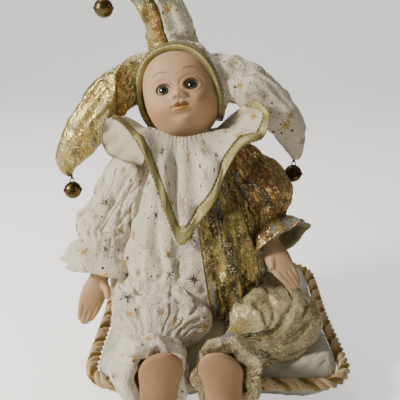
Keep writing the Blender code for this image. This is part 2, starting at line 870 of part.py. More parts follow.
def side_region(name, sign):
    """Everything on one side of the hat's long seam, which runs up the head and the top horn."""
    inward = HAT_PLACE.inverted()
    seam = [Vector((0, 0, -SEAM_FOOT)), Vector((0, 0, 0)), Vector((0, 0, SEAM_CROWN))]
    for row in smooth(line_of(TOP_HORN)[1:, :3], SEAM_POINTS):
        spot = inward @ Vector(row)
        seam.append(Vector((spot.x, 0, spot.z)))
    seam.append(seam[-1] + SEAM_PAST_TIP)
    shifted = []
    for i, spot in enumerate(seam):
        along = seam[min(i + 1, len(seam) - 1)] - seam[max(i - 1, 0)]
        across = Vector((along.z, 0, -along.x)).normalized()
        shifted.append(spot + across * sign * SEAM_GAP / 2)
    low, high = -SIDE_REACH, SIDE_REACH
    if sign < 0:
        corners = [Vector((low, 0, SEAM_CROWN)), Vector((low, 0, low))]
    else:
        corners = [Vector((low, 0, high)), Vector((high, 0, high)), Vector((high, 0, low))]
    outline = shifted + corners + [Vector((sign * SEAM_GAP / 2, 0, low))]
    shape = bmesh.new()
    deep = Vector((0, SIDE_DEPTH, 0))
    near = [shape.verts.new(HAT_PLACE @ (spot - deep)) for spot in outline]
    far = [shape.verts.new(HAT_PLACE @ (spot + deep)) for spot in outline]
    shape.faces.new(near)
    shape.faces.new(far)
    for i in range(len(outline)):
        j = (i + 1) % len(outline)
        shape.faces.new((near[i], near[j], far[j], far[i]))
    return cutter(add_object(name, shape, None))


def skull_solid(name, grow):
    rings = []
    for polar in np.linspace(0, math.pi, CAP_ROWS * 2 + 1)[1:-1]:
        ring = []
        for c in range(CAP_COLUMNS):
            t = TURN * c / CAP_COLUMNS
            flat = math.sin(polar)
            direction = Vector((math.cos(t) * flat, math.sin(t) * flat, math.cos(polar)))
            ring.append(HAT_PLACE @ (direction * skull_radius(direction, grow)))
        rings.append(ring)
    return cutter(loft(name, rings, None))


def build_hat(gold, white, trim_look):
    """The cap with its horns, which start half-way into the cap's wall, parted at the seam."""
    inner, outer = HAT_LINING, HAT_LINING + HAT_WALL
    skull = skull_solid("skull_room", (inner + outer) / 2)
    reach = {"on_trim": True, "margin": TRIM_MARGIN, "past": TRIM_ROOM_PAST_RIM}
    above = cap_grid(outer + HAT_TRIM_PROUD + SIDE_HORN_CLEARANCE, **reach)
    below = cap_grid(inner - GAP, **reach)
    trim_room = cutter(shell("trim_room", above, below, None, around=True))
    horns = [
        cut(horn("horn_right", RIGHT_HORN), skull, trim_room),
        cut(horn("horn_left", LEFT_HORN), skull, trim_room),
        cut(horn("horn_top", TOP_HORN), skull),
    ]
    trim = shell(
        "hat_trim",
        cap_grid(outer + HAT_TRIM_PROUD, on_trim=True),
        cap_grid(inner, on_trim=True),
        trim_look,
        around=True,
    )
    pieces = []
    for name, sign, look in (("hat_gold", -1, gold), ("hat_white", 1, white)):
        piece = shell(name, cap_grid(outer), cap_grid(inner), look, around=True)
        for other in horns:
            boolean(piece, other, "UNION")
        boolean(piece, side_region(f"{name}_side", sign), "INTERSECT")
        pieces.append(piece)
    return pieces, trim


# Bells


def build_bell(name, end, look):
    """A hollow bell with a rim round its middle and a slot below, on a short hanger."""
    radius = BELL_DIAMETER / 2
    top = end - Vector((0, 0, GAP))
    centre = top - Vector((0, 0, BELL_HANGER_LENGTH + radius))
    profile = [(radius * math.sin(p), radius * math.cos(p)) for p in BELL_UNDER_ANGLES]
    profile += [(radius + BELL_RIM, -BELL_RIM), (radius + BELL_RIM, BELL_RIM)]
    profile += [(radius * math.sin(p), radius * math.cos(p)) for p in BELL_OVER_ANGLES]
    profile += [(BELL_HANGER_RADIUS, radius + BELL_SHOULDER), (BELL_HANGER_RADIUS, top.z - centre.z)]
    inside = radius - BELL_WALL
    hollow = [(inside * math.sin(p), inside * math.cos(p)) for p in BELL_HOLLOW_ANGLES]

    def turned(part, points):
        rings = [
            [
                centre + Vector((r * math.cos(TURN * k / BELL_SIDES),
                                 r * math.sin(TURN * k / BELL_SIDES), z))
                for k in range(BELL_SIDES)
            ]
            for r, z in points
        ]
        return loft(part, rings, look if part == name else None)

    bell = turned(name, profile)
    slot = bmesh.new()
    bmesh.ops.create_cube(slot, size=1.0)
    for vertex in slot.verts:
        vertex.co.x *= BELL_DIAMETER + 4 * BELL_RIM
        vertex.co.y *= BELL_SLOT
        vertex.co.z *= radius
        vertex.co += centre - Vector((0, 0, BELL_SLOT_DEPTH_SHARE * radius))
    cut(bell, cutter(turned(f"{name}_hollow", hollow)), cutter(add_object(f"{name}_slot", slot, None)))
    return bell


# Collar. The points of its edge run from the front point round the doll's left, the back
# and the doll's right.

COLLAR_EDGE = (
    (-21, -42, 103),
    (-9, -41, 118.5),
    (-1, -39, 133.5),
    (6, -34, 152),
    (16, -28, 166),
    (29, -24, 171),
    (33, -17, 183),
    (25, -10, 194),
    (23, 6, 176),
    (12, 30, 164),
    (-20, 48, 148),
    (-52, 36, 156),
    (-70, 20, 159),
    (-77, 2, 163),
    (-79, -13, 177),
    (-72, -18, 169),
    (-60, -25, 170),
    (-48, -30, 160.5),
    (-40, -36, 144),
    (-31, -40, 123.5),
)
NECK_RING = (
    (-26, -17, 169.5),
    (-16, -15, 170),
    (-7, -9, 171),
    (-3, 0, 170.5),
    (-3, 9, 167),
    (-9, 19, 162),
    (-24, 23, 160),
    (-40, 19, 162),
    (-47, 9, 167),
    (-48, 0, 171),
    (-45, -8, 174),
    (-36, -14, 172),
)
COLLAR_SWELL = 4 * MM
COLLAR_HEART = Vector((-22, 6, 118)) * MM


def collar_grid(lift, on_trim=False, whole=False):
    """Points over the collar's cloth, its trim, or both, lifted away from the doll's chest."""
    edge = smooth(np.array(COLLAR_EDGE) * MM, COLLAR_COLUMNS, closed=True)
    neck = smooth(np.array(NECK_RING) * MM, COLLAR_COLUMNS, closed=True)
    rows = 2 if on_trim else COLLAR_ROWS
    grid = []
    for r in range(rows):
        row = []
        for c in range(COLLAR_COLUMNS):
            width = np.linalg.norm(edge[c] - neck[c])
            if on_trim:
                share = 1 - (COLLAR_TRIM_WIDTH - 3 * GAP) * (1 - r / (rows - 1)) / width
            else:
                share = (1 if whole else 1 - COLLAR_TRIM_WIDTH / width) * r / (rows - 1)
            spot = Vector(neck[c] * (1 - share) + edge[c] * share)
            outward = (spot - COLLAR_HEART).normalized()
            row.append(spot + outward * (COLLAR_SWELL * math.sin(math.pi * share) + lift))
        grid.append(row)
    return grid


def build_collar(look, trim_look):
    collar = shell("collar", collar_grid(CLOTH), collar_grid(0.0), look, around=True)
    shell(
        "collar_trim",
        collar_grid(CLOTH + COLLAR_TRIM_THICKNESS, on_trim=True),
        collar_grid(0.0, on_trim=True),
        trim_look,
        around=True,
    )
    above, below = collar_grid(COLLAR_REACH, whole=True), collar_grid(-GAP, whole=True)
    room = cutter(shell("collar_room", above, below, None, around=True))
    return collar, room


def build():
    clear_scene()
    porcelain = material("porcelain", (0.72, 0.50, 0.37), 0.45)
    white = material("white star plush", (0.80, 0.77, 0.70), 0.85)
    gold = material("gold brocade", (0.50, 0.36, 0.14), 0.45, 0.3)
    ribbon = material("gold ribbon", (0.55, 0.48, 0.26), 0.4, 0.4)
    satin = material("cushion satin", (0.72, 0.69, 0.60), 0.5)
    cord = material("twisted cord", (0.74, 0.60, 0.40), 0.5)
    brass = material("aged brass", (0.20, 0.13, 0.06), 0.4, 0.9)
    glass = material("eye glass", (0.10, 0.14, 0.10), 0.08)

    cushion_room, cord_room = build_cushion(satin, cord)
    halves, torso_room = build_torso(white, gold)
    collar, collar_room = build_collar(white, ribbon)
    for half in halves:
        cut(half, cushion_room, collar_room)

    leg_rooms = {
        "sleeve_white": cutter(
            loft("leg_white_room", cloth_rings(WHITE_LEG, UPWARDS, FORWARDS, 2 * GAP), None)
        ),
        "sleeve_gold": cutter(
            loft("leg_gold_room", cloth_rings(GOLD_LEG, UPWARDS, FORWARDS, 2 * GAP), None)
        ),
    }
    for name, rows, look in (
        ("sleeve_white", WHITE_SLEEVE, white),
        ("sleeve_gold", GOLD_SLEEVE, gold),
    ):
        sleeve = gathered_cloth(name, rows, FORWARDS, WRIST_RADIUS, FOREARM_IN_SLEEVE, look)
        cut(sleeve, torso_room, collar_room, leg_rooms[name])
    for name, rows, look in (("leg_white", WHITE_LEG, white), ("leg_gold", GOLD_LEG, gold)):
        leg = gathered_cloth(
            name, rows, UPWARDS, ANKLE_RADIUS, SHIN_IN_TROUSER, look, facing=FORWARDS
        )
        cut(leg, cushion_room, cord_room, torso_room)

    for name, sleeve, side_x, places, thumb, palm in (
        ("hand_right", WHITE_SLEEVE, RIGHT_HIP_X, RIGHT_HAND, RIGHT_THUMB, RIGHT_PALM),
        ("hand_left", GOLD_SLEEVE, LEFT_HIP_X, LEFT_HAND, LEFT_THUMB, LEFT_PALM),
    ):
        build_hand(name, sleeve, side_x, places, thumb, palm, porcelain)
    build_foot("foot_right", WHITE_LEG, RIGHT_FOOT_X, 1, porcelain)
    build_foot("foot_left", GOLD_LEG, LEFT_FOOT_X, -1, porcelain)

    build_head(porcelain, glass)
    build_hat(gold, white, ribbon)
    for name, rows in (
        ("bell_right", RIGHT_HORN),
        ("bell_left", LEFT_HORN),
        ("bell_top", TOP_HORN),
    ):
        build_bell(name, horn_end(rows), brass)


build()
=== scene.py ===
import math

import bmesh
import bpy
import numpy as np
from mathutils import Euler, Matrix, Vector
from mathutils.bvhtree import BVHTree


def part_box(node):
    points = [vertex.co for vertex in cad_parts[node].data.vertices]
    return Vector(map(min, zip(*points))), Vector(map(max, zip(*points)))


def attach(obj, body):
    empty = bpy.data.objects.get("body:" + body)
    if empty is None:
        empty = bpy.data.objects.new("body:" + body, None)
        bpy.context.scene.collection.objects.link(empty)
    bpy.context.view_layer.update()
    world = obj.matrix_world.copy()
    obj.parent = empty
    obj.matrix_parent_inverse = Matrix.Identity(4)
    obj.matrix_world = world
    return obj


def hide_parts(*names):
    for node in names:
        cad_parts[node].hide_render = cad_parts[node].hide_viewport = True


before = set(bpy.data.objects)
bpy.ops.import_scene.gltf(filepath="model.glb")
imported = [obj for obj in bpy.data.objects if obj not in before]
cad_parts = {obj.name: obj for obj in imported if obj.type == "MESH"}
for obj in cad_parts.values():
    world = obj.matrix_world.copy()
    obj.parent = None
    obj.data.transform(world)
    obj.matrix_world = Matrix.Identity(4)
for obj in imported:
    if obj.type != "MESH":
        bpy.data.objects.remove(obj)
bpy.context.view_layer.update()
mm = 0.001
fullTurn = 2 * math.pi
upward = np.array((0.0, 0.0, 1.0))
forwards = np.array((0.0, -1.0, 0.0))
sideways = np.array((1.0, 0.0, 0.0))


# Small sums that several pieces use

def unit(rows):
    return rows / np.linalg.norm(rows, axis=-1, keepdims=True)


def ease(low, high, value):
    share = np.clip((value - low) / (high - low), 0, 1)
    return share * share * (3 - 2 * share)


def hump(value, centre, width):
    return np.exp(-(((value - centre) / width) ** 2))


def signedPower(value, power):
    return np.sign(value) * np.abs(value) ** power


def curveThrough(points, count, closed=False):  # a Catmull-Rom curve, evenly stepped between its points
    known = np.array(points, float)
    last = len(known) if closed else len(known) - 1
    place = np.linspace(0, last, count, endpoint=not closed)
    i = np.minimum(place.astype(int), last - 1)
    f = (place - i)[:, None]

    def pick(k):
        return known[k % len(known)] if closed else known[np.clip(k, 0, last)]

    a, b, c, d = pick(i - 1), pick(i), pick(i + 1), pick(i + 2)
    return 0.5 * (2 * b + (c - a) * f + (2 * a - 5 * b + 4 * c - d) * f**2 + (3 * b - a - 3 * c + d) * f**3)


def evenly(points, step, closed=False):  # the same line, with points a step apart
    line = np.vstack([points, points[:1]]) if closed else points
    run = np.concatenate([[0], np.cumsum(np.linalg.norm(np.diff(line, axis=0), axis=1))])
    count = max(4, round(run[-1] / step))
    at = np.linspace(0, run[-1], count, endpoint=not closed)
    return np.stack([np.interp(at, run, line[:, k]) for k in range(3)], -1)


lattice = np.random.default_rng(11).uniform(-1, 1, (32, 32, 32))


def cloudy(points, size, seed, octaves=2):  # smooth noise, about -1 to 1
    total = np.zeros(points.shape[:-1])
    for k in range(octaves):
        place = points / size * 2**k + np.array((7.31, 3.17, 5.77)) * seed + 100
        cell = np.floor(place).astype(int)
        part = place - cell
        part = part * part * (3 - 2 * part)
        for corner in np.ndindex(2, 2, 2):
            weight = np.prod(np.where(corner, part, 1 - part), axis=-1)
            at = (cell + corner) % 32
            total += weight * lattice[at[..., 0], at[..., 1], at[..., 2]] * 0.55**k
    return total


def creased(points, size, seed):  # soft hills with narrow valleys between them, about 0 to 1
    return np.abs(cloudy(points, size, seed)) ** 0.6


# Meshes from grids of points

def newObject(name, data):
    made = bpy.data.objects.new(name, data)
    bpy.context.scene.collection.objects.link(made)
    return made


def surface(name, grid, look, around=True, looped=False, lining=None, liningFrom=None):
    rows, columns = grid.shape[:2]
    spans, bands = (columns if around else columns - 1), (rows if looped else rows - 1)
    r, c = (k.ravel() for k in np.meshgrid(np.arange(bands), np.arange(spans), indexing="ij"))
    nextRow, nextColumn = (r + 1) % rows, (c + 1) % columns
    corners = [(r, c), (r, nextColumn), (nextRow, nextColumn), (nextRow, c)]
    faces = np.stack([a * columns + b for a, b in corners], -1).tolist()
    stepAround = np.linalg.norm(np.roll(grid, -1, 1) - grid, axis=2)
    stepAlong = np.linalg.norm(np.roll(grid, -1, 0) - grid, axis=2)
    u = np.concatenate([[0], np.cumsum(np.percentile(stepAround, 85, axis=0))])
    v = np.concatenate([[0], np.cumsum(np.percentile(stepAlong, 60, axis=1))])
    flat = [(u[c], v[r]), (u[c + 1], v[r]), (u[c + 1], v[r + 1]), (u[c], v[r + 1])]
    cornerPlaces = np.stack([np.stack(pair, -1) for pair in flat], 1).reshape(-1, 2)
    points = grid.reshape(-1, 3)
    if around and not looped:  # both ends are closed by a fan of faces
        for row, level in ((0, v[0]), (rows - 1, v[rows - 1])):
            k, middle = np.arange(columns), len(points)
            points = np.vstack([points, grid[row].mean(0)])
            fan = [row * columns + k, row * columns + (k + 1) % columns, np.full(columns, middle)]
            faces += np.stack(fan, -1).tolist()
            flat = np.stack([u[k], u[k + 1], u[k]], -1).ravel()
            cornerPlaces = np.vstack([cornerPlaces, np.column_stack([flat, np.full(len(flat), level)])])
    mesh = bpy.data.meshes.new(name)
    mesh.from_pydata(points.tolist(), [], faces)
    mesh.uv_layers.new(name="cloth").data.foreach_set("uv", cornerPlaces.astype(np.float32).ravel())
    mesh.materials.append(look)
    if lining:
        mesh.materials.append(lining)
        inside = np.zeros(len(faces), np.int32)
        inside[: len(r)] = r >= liningFrom
        mesh.polygons.foreach_set("material_index", inside)
    turnOutwards(mesh)
    return newObject(name, mesh)


def turnOutwards(mesh):
    shape = bmesh.new()
    shape.from_mesh(mesh)
    bmesh.ops.recalc_face_normals(shape, faces=shape.faces)
    shape.to_mesh(mesh)
    shape.free()
    mesh.shade_smooth()


def numbers(items, field):  # one whole number for every corner or face
    found = np.empty(len(items), np.int32)
    items.foreach_get(field, found)
    return found


def rowsOf(items, field):  # a place or a direction for every point or face
    found = np.empty(len(items) * 3, np.float32)
    items.foreach_get(field, found)
    return found.reshape(-1, 3).astype(float)


def spots(mesh):
    return rowsOf(mesh.vertices, "co")


def moveTo(mesh, places):
    mesh.vertices.foreach_set("co", places.astype(np.float32).ravel())
    mesh.update()


def pushOut(piece, amount):  # moves every point along its normal
    mesh = piece.data
    moveTo(mesh, spots(mesh) + rowsOf(mesh.vertex_normals, "vector") * amount[:, None])


def rounded(piece):  # one level of subdivision, applied
    change = piece.modifiers.new("soft", "SUBSURF")
    change.levels = change.render_levels = 1
    settle(piece)


def settle(piece):  # the piece as its modifiers leave it, as a plain mesh
    evaluated = piece.evaluated_get(bpy.context.evaluated_depsgraph_get())
    made = bpy.data.meshes.new_from_object(evaluated)
    piece.modifiers.clear()
    piece.data = made
    made.shade_smooth()


stuffing = {"frames": 20, "pressure": 4.0, "quality": 3}


def stuffed(piece, held, spare, most):  # cloth blown out between its held points, with cloth to spare
    group = piece.vertex_groups.new(name="held")
    for level in np.unique(np.round(held, 2)):
        if level > 0:
            group.add(np.flatnonzero(np.round(held, 2) == level).tolist(), float(level), "REPLACE")
    before = spots(piece.data)
    change = piece.modifiers.new("stuffing", "CLOTH")
    change.settings.quality = stuffing["quality"]
    change.settings.use_pressure = True
    change.settings.uniform_pressure_force = stuffing["pressure"]
    change.settings.vertex_group_mass = "held"
    change.settings.shrink_min = -spare
    change.settings.effector_weights.gravity = 0
    change.collision_settings.use_collision = False
    change.point_cache.frame_end = stuffing["frames"]
    for step in range(1, stuffing["frames"] + 1):
        bpy.context.scene.frame_set(step)
    evaluated = piece.evaluated_get(bpy.context.evaluated_depsgraph_get())
    moved = spots(evaluated.data) - before
    piece.modifiers.clear()
    piece.vertex_groups.clear()
    bpy.context.scene.frame_set(1)
    far = np.linalg.norm(moved, axis=1, keepdims=True)
    moved = moved * np.minimum(1, most / np.maximum(far, 1e-9))
    moveTo(piece.data, before + moved)
    print(piece.name, "stuffed: moved up to", round(float(far.max()) / mm, 1), "mm, kept to", most / mm)


def gapTo(points, *nodes):  # how far each point is from the nearest of some other parts
    best = np.full(len(points), 1.0)
    for name in nodes:
        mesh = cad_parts[name].data
        tree = BVHTree.FromPolygons([v.co for v in mesh.vertices], [f.vertices for f in mesh.polygons])
        best = np.minimum(best, [tree.find_nearest(p)[3] for p in points])
    return best


def give(piece, slot, *nodes, fill=None):
    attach(piece, "root")
    if nodes:
        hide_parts(*nodes)
    return piece


def across(centre, along, reference, sideRadius, upRadius, count):  # an oval ring round a line
    side = unit(np.cross(along, reference))
    up = unit(np.cross(side, along))
    t = np.arange(count) * fullTurn / count
    return centre + np.outer(np.cos(t) * sideRadius, side) + np.outer(np.sin(t) * upRadius, up)


def ovals(line, reference, count, facingWay=None, grow=0.0):  # rings for rows of place and two radii
    places = line[:, :3]
    grow = np.broadcast_to(grow, len(line))
    along = np.gradient(places, axis=0) if facingWay is None else np.tile(facingWay, (len(line), 1))
    rings = [
        across(places[i], along[i], reference, line[i, 3] + grow[i], line[i, 4] + grow[i], count)
        for i in range(len(line))
    ]
    return np.array(rings)


# Node trees

def node(tree, kind, links=None, **settings):
    made = tree.nodes.new(kind)
    for key, value in settings.items():
        setattr(made, key, value)
    for key, value in (links or {}).items():
        if isinstance(value, bpy.types.NodeSocket):
            tree.links.new(value, made.inputs[key])
        else:
            made.inputs[key].default_value = value
    return made


def calc(tree, operation, *values, clamp=False):
    made = node(tree, "ShaderNodeMath", dict(enumerate(values)), operation=operation)
    made.use_clamp = clamp
    return made.outputs[0]


def between(tree, value, low, high, fromLow=0.0, fromHigh=1.0, smooth=True):
    kind = "SMOOTHSTEP" if smooth else "LINEAR"
    links = {"Value": value, "From Min": fromLow, "From Max": fromHigh, "To Min": low, "To Max": high}
    return node(tree, "ShaderNodeMapRange", links, interpolation_type=kind).outputs[0]


def noise(tree, place, scale, detail):
    links = {"Vector": place, "Scale": float(scale), "Detail": float(detail)}
    return node(tree, "ShaderNodeTexNoise", links).outputs["Fac"]


def parted(tree, vector):  # the three numbers of a place
    return node(tree, "ShaderNodeSeparateXYZ", {"Vector": vector}).outputs


def chances(tree, cells):  # three random numbers for each cell of a pattern
    return node(tree, "ShaderNodeSeparateColor", {"Color": cells.outputs["Color"]}).outputs


def vectorSum(tree, operation, first, second):
    return node(tree, "ShaderNodeVectorMath", {0: first, 1: second}, operation=operation).outputs[0]


def reachOf(tree, side, up):  # how far a flat place is from its middle
    squares = [calc(tree, "MULTIPLY", value, value) for value in (side, up)]
    return calc(tree, "SQRT", calc(tree, "ADD", *squares))


def tint(tree, share, first, second):
    made = tree.nodes.new("ShaderNodeMix")
    made.data_type = "RGBA"
    for k, value in ((0, share), (6, first), (7, second)):
        if isinstance(value, bpy.types.NodeSocket):
            tree.links.new(value, made.inputs[k])
        else:
            made.inputs[k].default_value = (*value, 1) if k else value
    return made.outputs[2]


def steps(tree, value, colours, sharp=False):  # a colour ramp
    made = node(tree, "ShaderNodeValToRGB", {"Fac": value})
    ramp = made.color_ramp
    ramp.interpolation = "CONSTANT" if sharp else "LINEAR"
    while len(ramp.elements) < len(colours):
        ramp.elements.new(0.5)
    for element, (place, colour) in zip(ramp.elements, colours):
        element.position = place
        element.color = (*colour, 1)
    return made.outputs[0]


def newGroup(name, inputs, outputs, treeKind="ShaderNodeTree"):
    tree = bpy.data.node_groups.new(name, treeKind)
    for label, kind, value in inputs:
        socket = tree.interface.new_socket(label, in_out="INPUT", socket_type=kind)
        if value is not None:
            socket.default_value = value
    for label, kind in outputs:
        tree.interface.new_socket(label, in_out="OUTPUT", socket_type=kind)
    return tree, tree.nodes.new("NodeGroupInput").outputs, tree.nodes.new("NodeGroupOutput").inputs


def placeGroup(tree, group, **values):
    made = tree.nodes.new("ShaderNodeGroup")
    made.node_tree = group
    for label, value in values.items():
        if isinstance(value, bpy.types.NodeSocket):
            tree.links.new(value, made.inputs[label])
        else:
            made.inputs[label].default_value = value
    return made.outputs


floatKind, vectorKind, wholeKind = "NodeSocketFloat", "NodeSocketVector", "NodeSocketInt"
shapeKind, finishKind = "NodeSocketGeometry", "NodeSocketMaterial"


def foilStarsGroup():  # printed eight-point bursts and dots, on a flat cloth coordinate in metres
    tree, given, out = newGroup(
        "foil stars",
        [("Cloth", vectorKind, None), ("Spacing", floatKind, 0.020), ("Reach", floatKind, 0.0068),
         ("Ray", floatKind, 0.00095), ("Dot Spacing", floatKind, 0.0066), ("Dot", floatKind, 0.00095)],
        [("Star", floatKind), ("Kind", floatKind), ("Dots", floatKind), ("Dot Kind", floatKind)],
    )

    def cells(spacing, randomness):
        scale = calc(tree, "DIVIDE", 1.0, given[spacing])
        links = {"Vector": given["Cloth"], "Scale": scale, "Randomness": randomness}
        found = node(tree, "ShaderNodeTexVoronoi", links, voronoi_dimensions="2D")
        offset = vectorSum(tree, "SUBTRACT", given["Cloth"], found.outputs["Position"])
        return parted(tree, offset), chances(tree, found)

    offset, chance = cells("Spacing", 0.75)
    reach = reachOf(tree, offset[0], offset[1])
    angle = calc(tree, "ARCTAN2", offset[1], offset[0])
    eighths = calc(tree, "MULTIPLY", calc(tree, "MULTIPLY_ADD", chance[0], fullTurn, angle), 8 / fullTurn)
    part = calc(tree, "SUBTRACT", calc(tree, "FRACT", eighths), 0.5)
    fromRay = calc(tree, "MULTIPLY", calc(tree, "ABSOLUTE", part), fullTurn / 8)
    aside = calc(tree, "MULTIPLY", reach, calc(tree, "SINE", fromRay))
    odd = calc(tree, "FRACT", calc(tree, "MULTIPLY", calc(tree, "FLOOR", eighths), 0.5))
    longest = calc(tree, "MULTIPLY", given["Reach"], calc(tree, "MULTIPLY_ADD", odd, -0.7, 1.0))
    sized = calc(tree, "MULTIPLY", longest, between(tree, chance[1], 0.65, 1.15, smooth=False))
    taper = calc(tree, "SUBTRACT", 1.0, calc(tree, "DIVIDE", reach, sized), clamp=True)
    edge = calc(tree, "SUBTRACT", calc(tree, "MULTIPLY", given["Ray"], taper), aside)
    ray = between(tree, edge, 0.0, 1.0, 0.0, 0.00012)
    kept = between(tree, noise(tree, given["Cloth"], 900, 2), 0.35, 1.0, 0.32, 0.48)
    tree.links.new(calc(tree, "MULTIPLY", ray, kept), out["Star"])
    tree.links.new(chance[2], out["Kind"])

    offset, chance = cells("Dot Spacing", 1.0)
    reach = reachOf(tree, offset[0], offset[1])
    size = calc(tree, "MULTIPLY", given["Dot"], between(tree, chance[0], 0.3, 1.2, smooth=False))
    dot = between(tree, calc(tree, "SUBTRACT", size, reach), 0.0, 1.0, 0.0, 0.00012)
    present = calc(tree, "GREATER_THAN", chance[1], 0.45)
    tree.links.new(calc(tree, "MULTIPLY", dot, present), out["Dots"])
    tree.links.new(chance[2], out["Dot Kind"])
    return tree


def brocadeGroup():  # irregular printed patches, foil, dark dashes and crumpled foil relief
    tree, given, out = newGroup(
        "brocade print",
        [("Cloth", vectorKind, None), ("Patch", floatKind, 0.011), ("Stretch", floatKind, 0.4),
         ("Foil", floatKind, 0.5), ("Glitter", floatKind, 0.0008)],
        [("Patch Kind", floatKind), ("Foil", floatKind), ("Dash", floatKind), ("Glitter", floatKind),
         ("Relief", floatKind)],
    )
    drawnOut = node(tree, "ShaderNodeCombineXYZ", {"X": 1.0, "Y": given["Stretch"], "Z": 1.0}).outputs[0]
    squeezed = vectorSum(tree, "MULTIPLY", given["Cloth"], drawnOut)
    swirl = node(tree, "ShaderNodeTexNoise",
                 {"Vector": squeezed, "Scale": 170.0, "Detail": 3.0}).outputs["Color"]
    centred = vectorSum(tree, "SUBTRACT", swirl, (0.5, 0.5, 0.5))
    bent = node(tree, "ShaderNodeVectorMath", {0: centred, "Scale": 0.012}, operation="SCALE").outputs[0]
    place = vectorSum(tree, "ADD", squeezed, bent)
    patchScale = calc(tree, "DIVIDE", 1.0, given["Patch"])
    patch = node(tree, "ShaderNodeTexVoronoi", {"Vector": place, "Scale": patchScale},
                 voronoi_dimensions="2D")
    kind = chances(tree, patch)
    tree.links.new(kind[0], out["Patch Kind"])
    cloud = noise(tree, place, 260, 4)
    least = calc(tree, "SUBTRACT", 0.75, calc(tree, "MULTIPLY", given["Foil"], 0.4))
    most = calc(tree, "ADD", least, 0.06)
    tree.links.new(between(tree, cloud, 0.0, 1.0, least, most), out["Foil"])
    streak = noise(tree, vectorSum(tree, "MULTIPLY", place, (1.0, 0.22, 1.0)), 1000, 1)
    edge = calc(tree, "SUBTRACT", 1.0, between(tree, patch.outputs["Distance"], 0.0, 1.0, 0.35, 0.6))
    dash = between(tree, streak, 0.0, 1.0, 0.60, 0.66)
    rare = calc(tree, "GREATER_THAN", kind[1], 0.5)
    dash = calc(tree, "MULTIPLY", dash, rare)
    tree.links.new(calc(tree, "MULTIPLY", dash, calc(tree, "SUBTRACT", 1.0, edge)), out["Dash"])
    glitterScale = calc(tree, "DIVIDE", 1.0, given["Glitter"])
    links = {"Vector": given["Cloth"], "Scale": glitterScale}
    spark = chances(tree, node(tree, "ShaderNodeTexVoronoi", links, voronoi_dimensions="2D"))
    tree.links.new(spark[0], out["Glitter"])
    rumple = noise(tree, given["Cloth"], 1400, 3)
    tree.links.new(calc(tree, "ADD", rumple, calc(tree, "MULTIPLY", spark[1], 0.6)), out["Relief"])
    return tree


def pileGroup():  # short pile, or a woven ground, as a height and a mottling
    tree, given, out = newGroup(
        "cloth pile",
        [("Cloth", vectorKind, None), ("Tuft", floatKind, 0.0012), ("Thread", floatKind, 0.0004)],
        [("Height", floatKind), ("Weave", floatKind), ("Mottle", floatKind)],
    )
    tuftScale = calc(tree, "DIVIDE", 1.0, given["Tuft"])
    tuft = node(tree, "ShaderNodeTexNoise", {"Vector": given["Cloth"], "Scale": tuftScale, "Detail": 3.0})
    tree.links.new(tuft.outputs["Fac"], out["Height"])
    part = parted(tree, given["Cloth"])
    rate = calc(tree, "DIVIDE", fullTurn, given["Thread"])
    over = calc(tree, "SINE", calc(tree, "MULTIPLY", part[0], rate))
    under = calc(tree, "SINE", calc(tree, "MULTIPLY", part[1], rate))
    tree.links.new(calc(tree, "MULTIPLY", over, under), out["Weave"])
    tree.links.new(noise(tree, given["Cloth"], 60, 3), out["Mottle"])
    return tree


foilStars, brocadePrint, clothPile = foilStarsGroup(), brocadeGroup(), pileGroup()


def newLook(name, **plain):
    look = bpy.data.materials.new(name)
    look.use_nodes = True
    shader = look.node_tree.nodes["Principled BSDF"]
    for label, value in plain.items():
        shader.inputs[label.replace("_", " ")].default_value = value
    return look, look.node_tree, shader.inputs


def clothPlace(tree, layer="cloth"):
    return node(tree, "ShaderNodeUVMap", uv_map=layer).outputs[0]


def objectPlace(tree):
    return node(tree, "ShaderNodeTexCoord").outputs["Object"]


def painted(tree, name):  # a number that the mesh carries at each point
    return node(tree, "ShaderNodeAttribute", attribute_name=name).outputs["Fac"]


def emboss(tree, inputs, height, distance, strength=1.0):
    made = node(tree, "ShaderNodeBump", {"Height": height, "Distance": distance, "Strength": strength})
    tree.links.new(made.outputs[0], inputs["Normal"])


# the hollow colour is painted shade for the pile's low places; the other colours are the cloth's own tones
# and print
starCloth = {
    "ground": (0.78, 0.725, 0.58), "shade": (0.62, 0.56, 0.42), "hollow": (0.36, 0.31, 0.21),
    "foil": (0.46, 0.29, 0.07), "dark": (0.045, 0.03, 0.016), "faded": (0.38, 0.27, 0.14),
}


def starLook():
    look, tree, inputs = newLook("white star velour", Roughness=0.9, Sheen_Weight=0.35, Sheen_Roughness=0.5)
    place = clothPlace(tree)
    prints = placeGroup(tree, foilStars, Cloth=place)
    pile = placeGroup(tree, clothPile, Cloth=place)
    ground = tint(tree, between(tree, pile["Mottle"], 0, 1, 0.3, 0.75), starCloth["ground"],
                  starCloth["shade"])
    # painted shade: the pile's low places are darkened towards the hollow colour
    ground = tint(tree, between(tree, pile["Height"], 0, 0.5, 0.55, 0.3), ground, starCloth["hollow"])
    foil, dark, faded = (starCloth[kind] for kind in ("foil", "dark", "faded"))
    starColour = steps(tree, prints["Kind"], [(0, foil), (0.6, dark), (0.8, faded)], True)
    dotColour = steps(tree, prints["Dot Kind"], [(0, dark), (0.4, faded), (0.7, foil)], True)
    colour = tint(tree, prints["Dots"], ground, dotColour)
    colour = tint(tree, prints["Star"], colour, starColour)
    tree.links.new(colour, inputs["Base Color"])
    gilt = calc(tree, "MULTIPLY", prints["Star"], calc(tree, "LESS_THAN", prints["Kind"], 0.55))
    tree.links.new(calc(tree, "MULTIPLY", gilt, 0.7), inputs["Metallic"])
    tree.links.new(between(tree, gilt, 0.9, 0.35), inputs["Roughness"])
    emboss(tree, inputs, pile["Height"], 0.0016, 1.0)
    return look


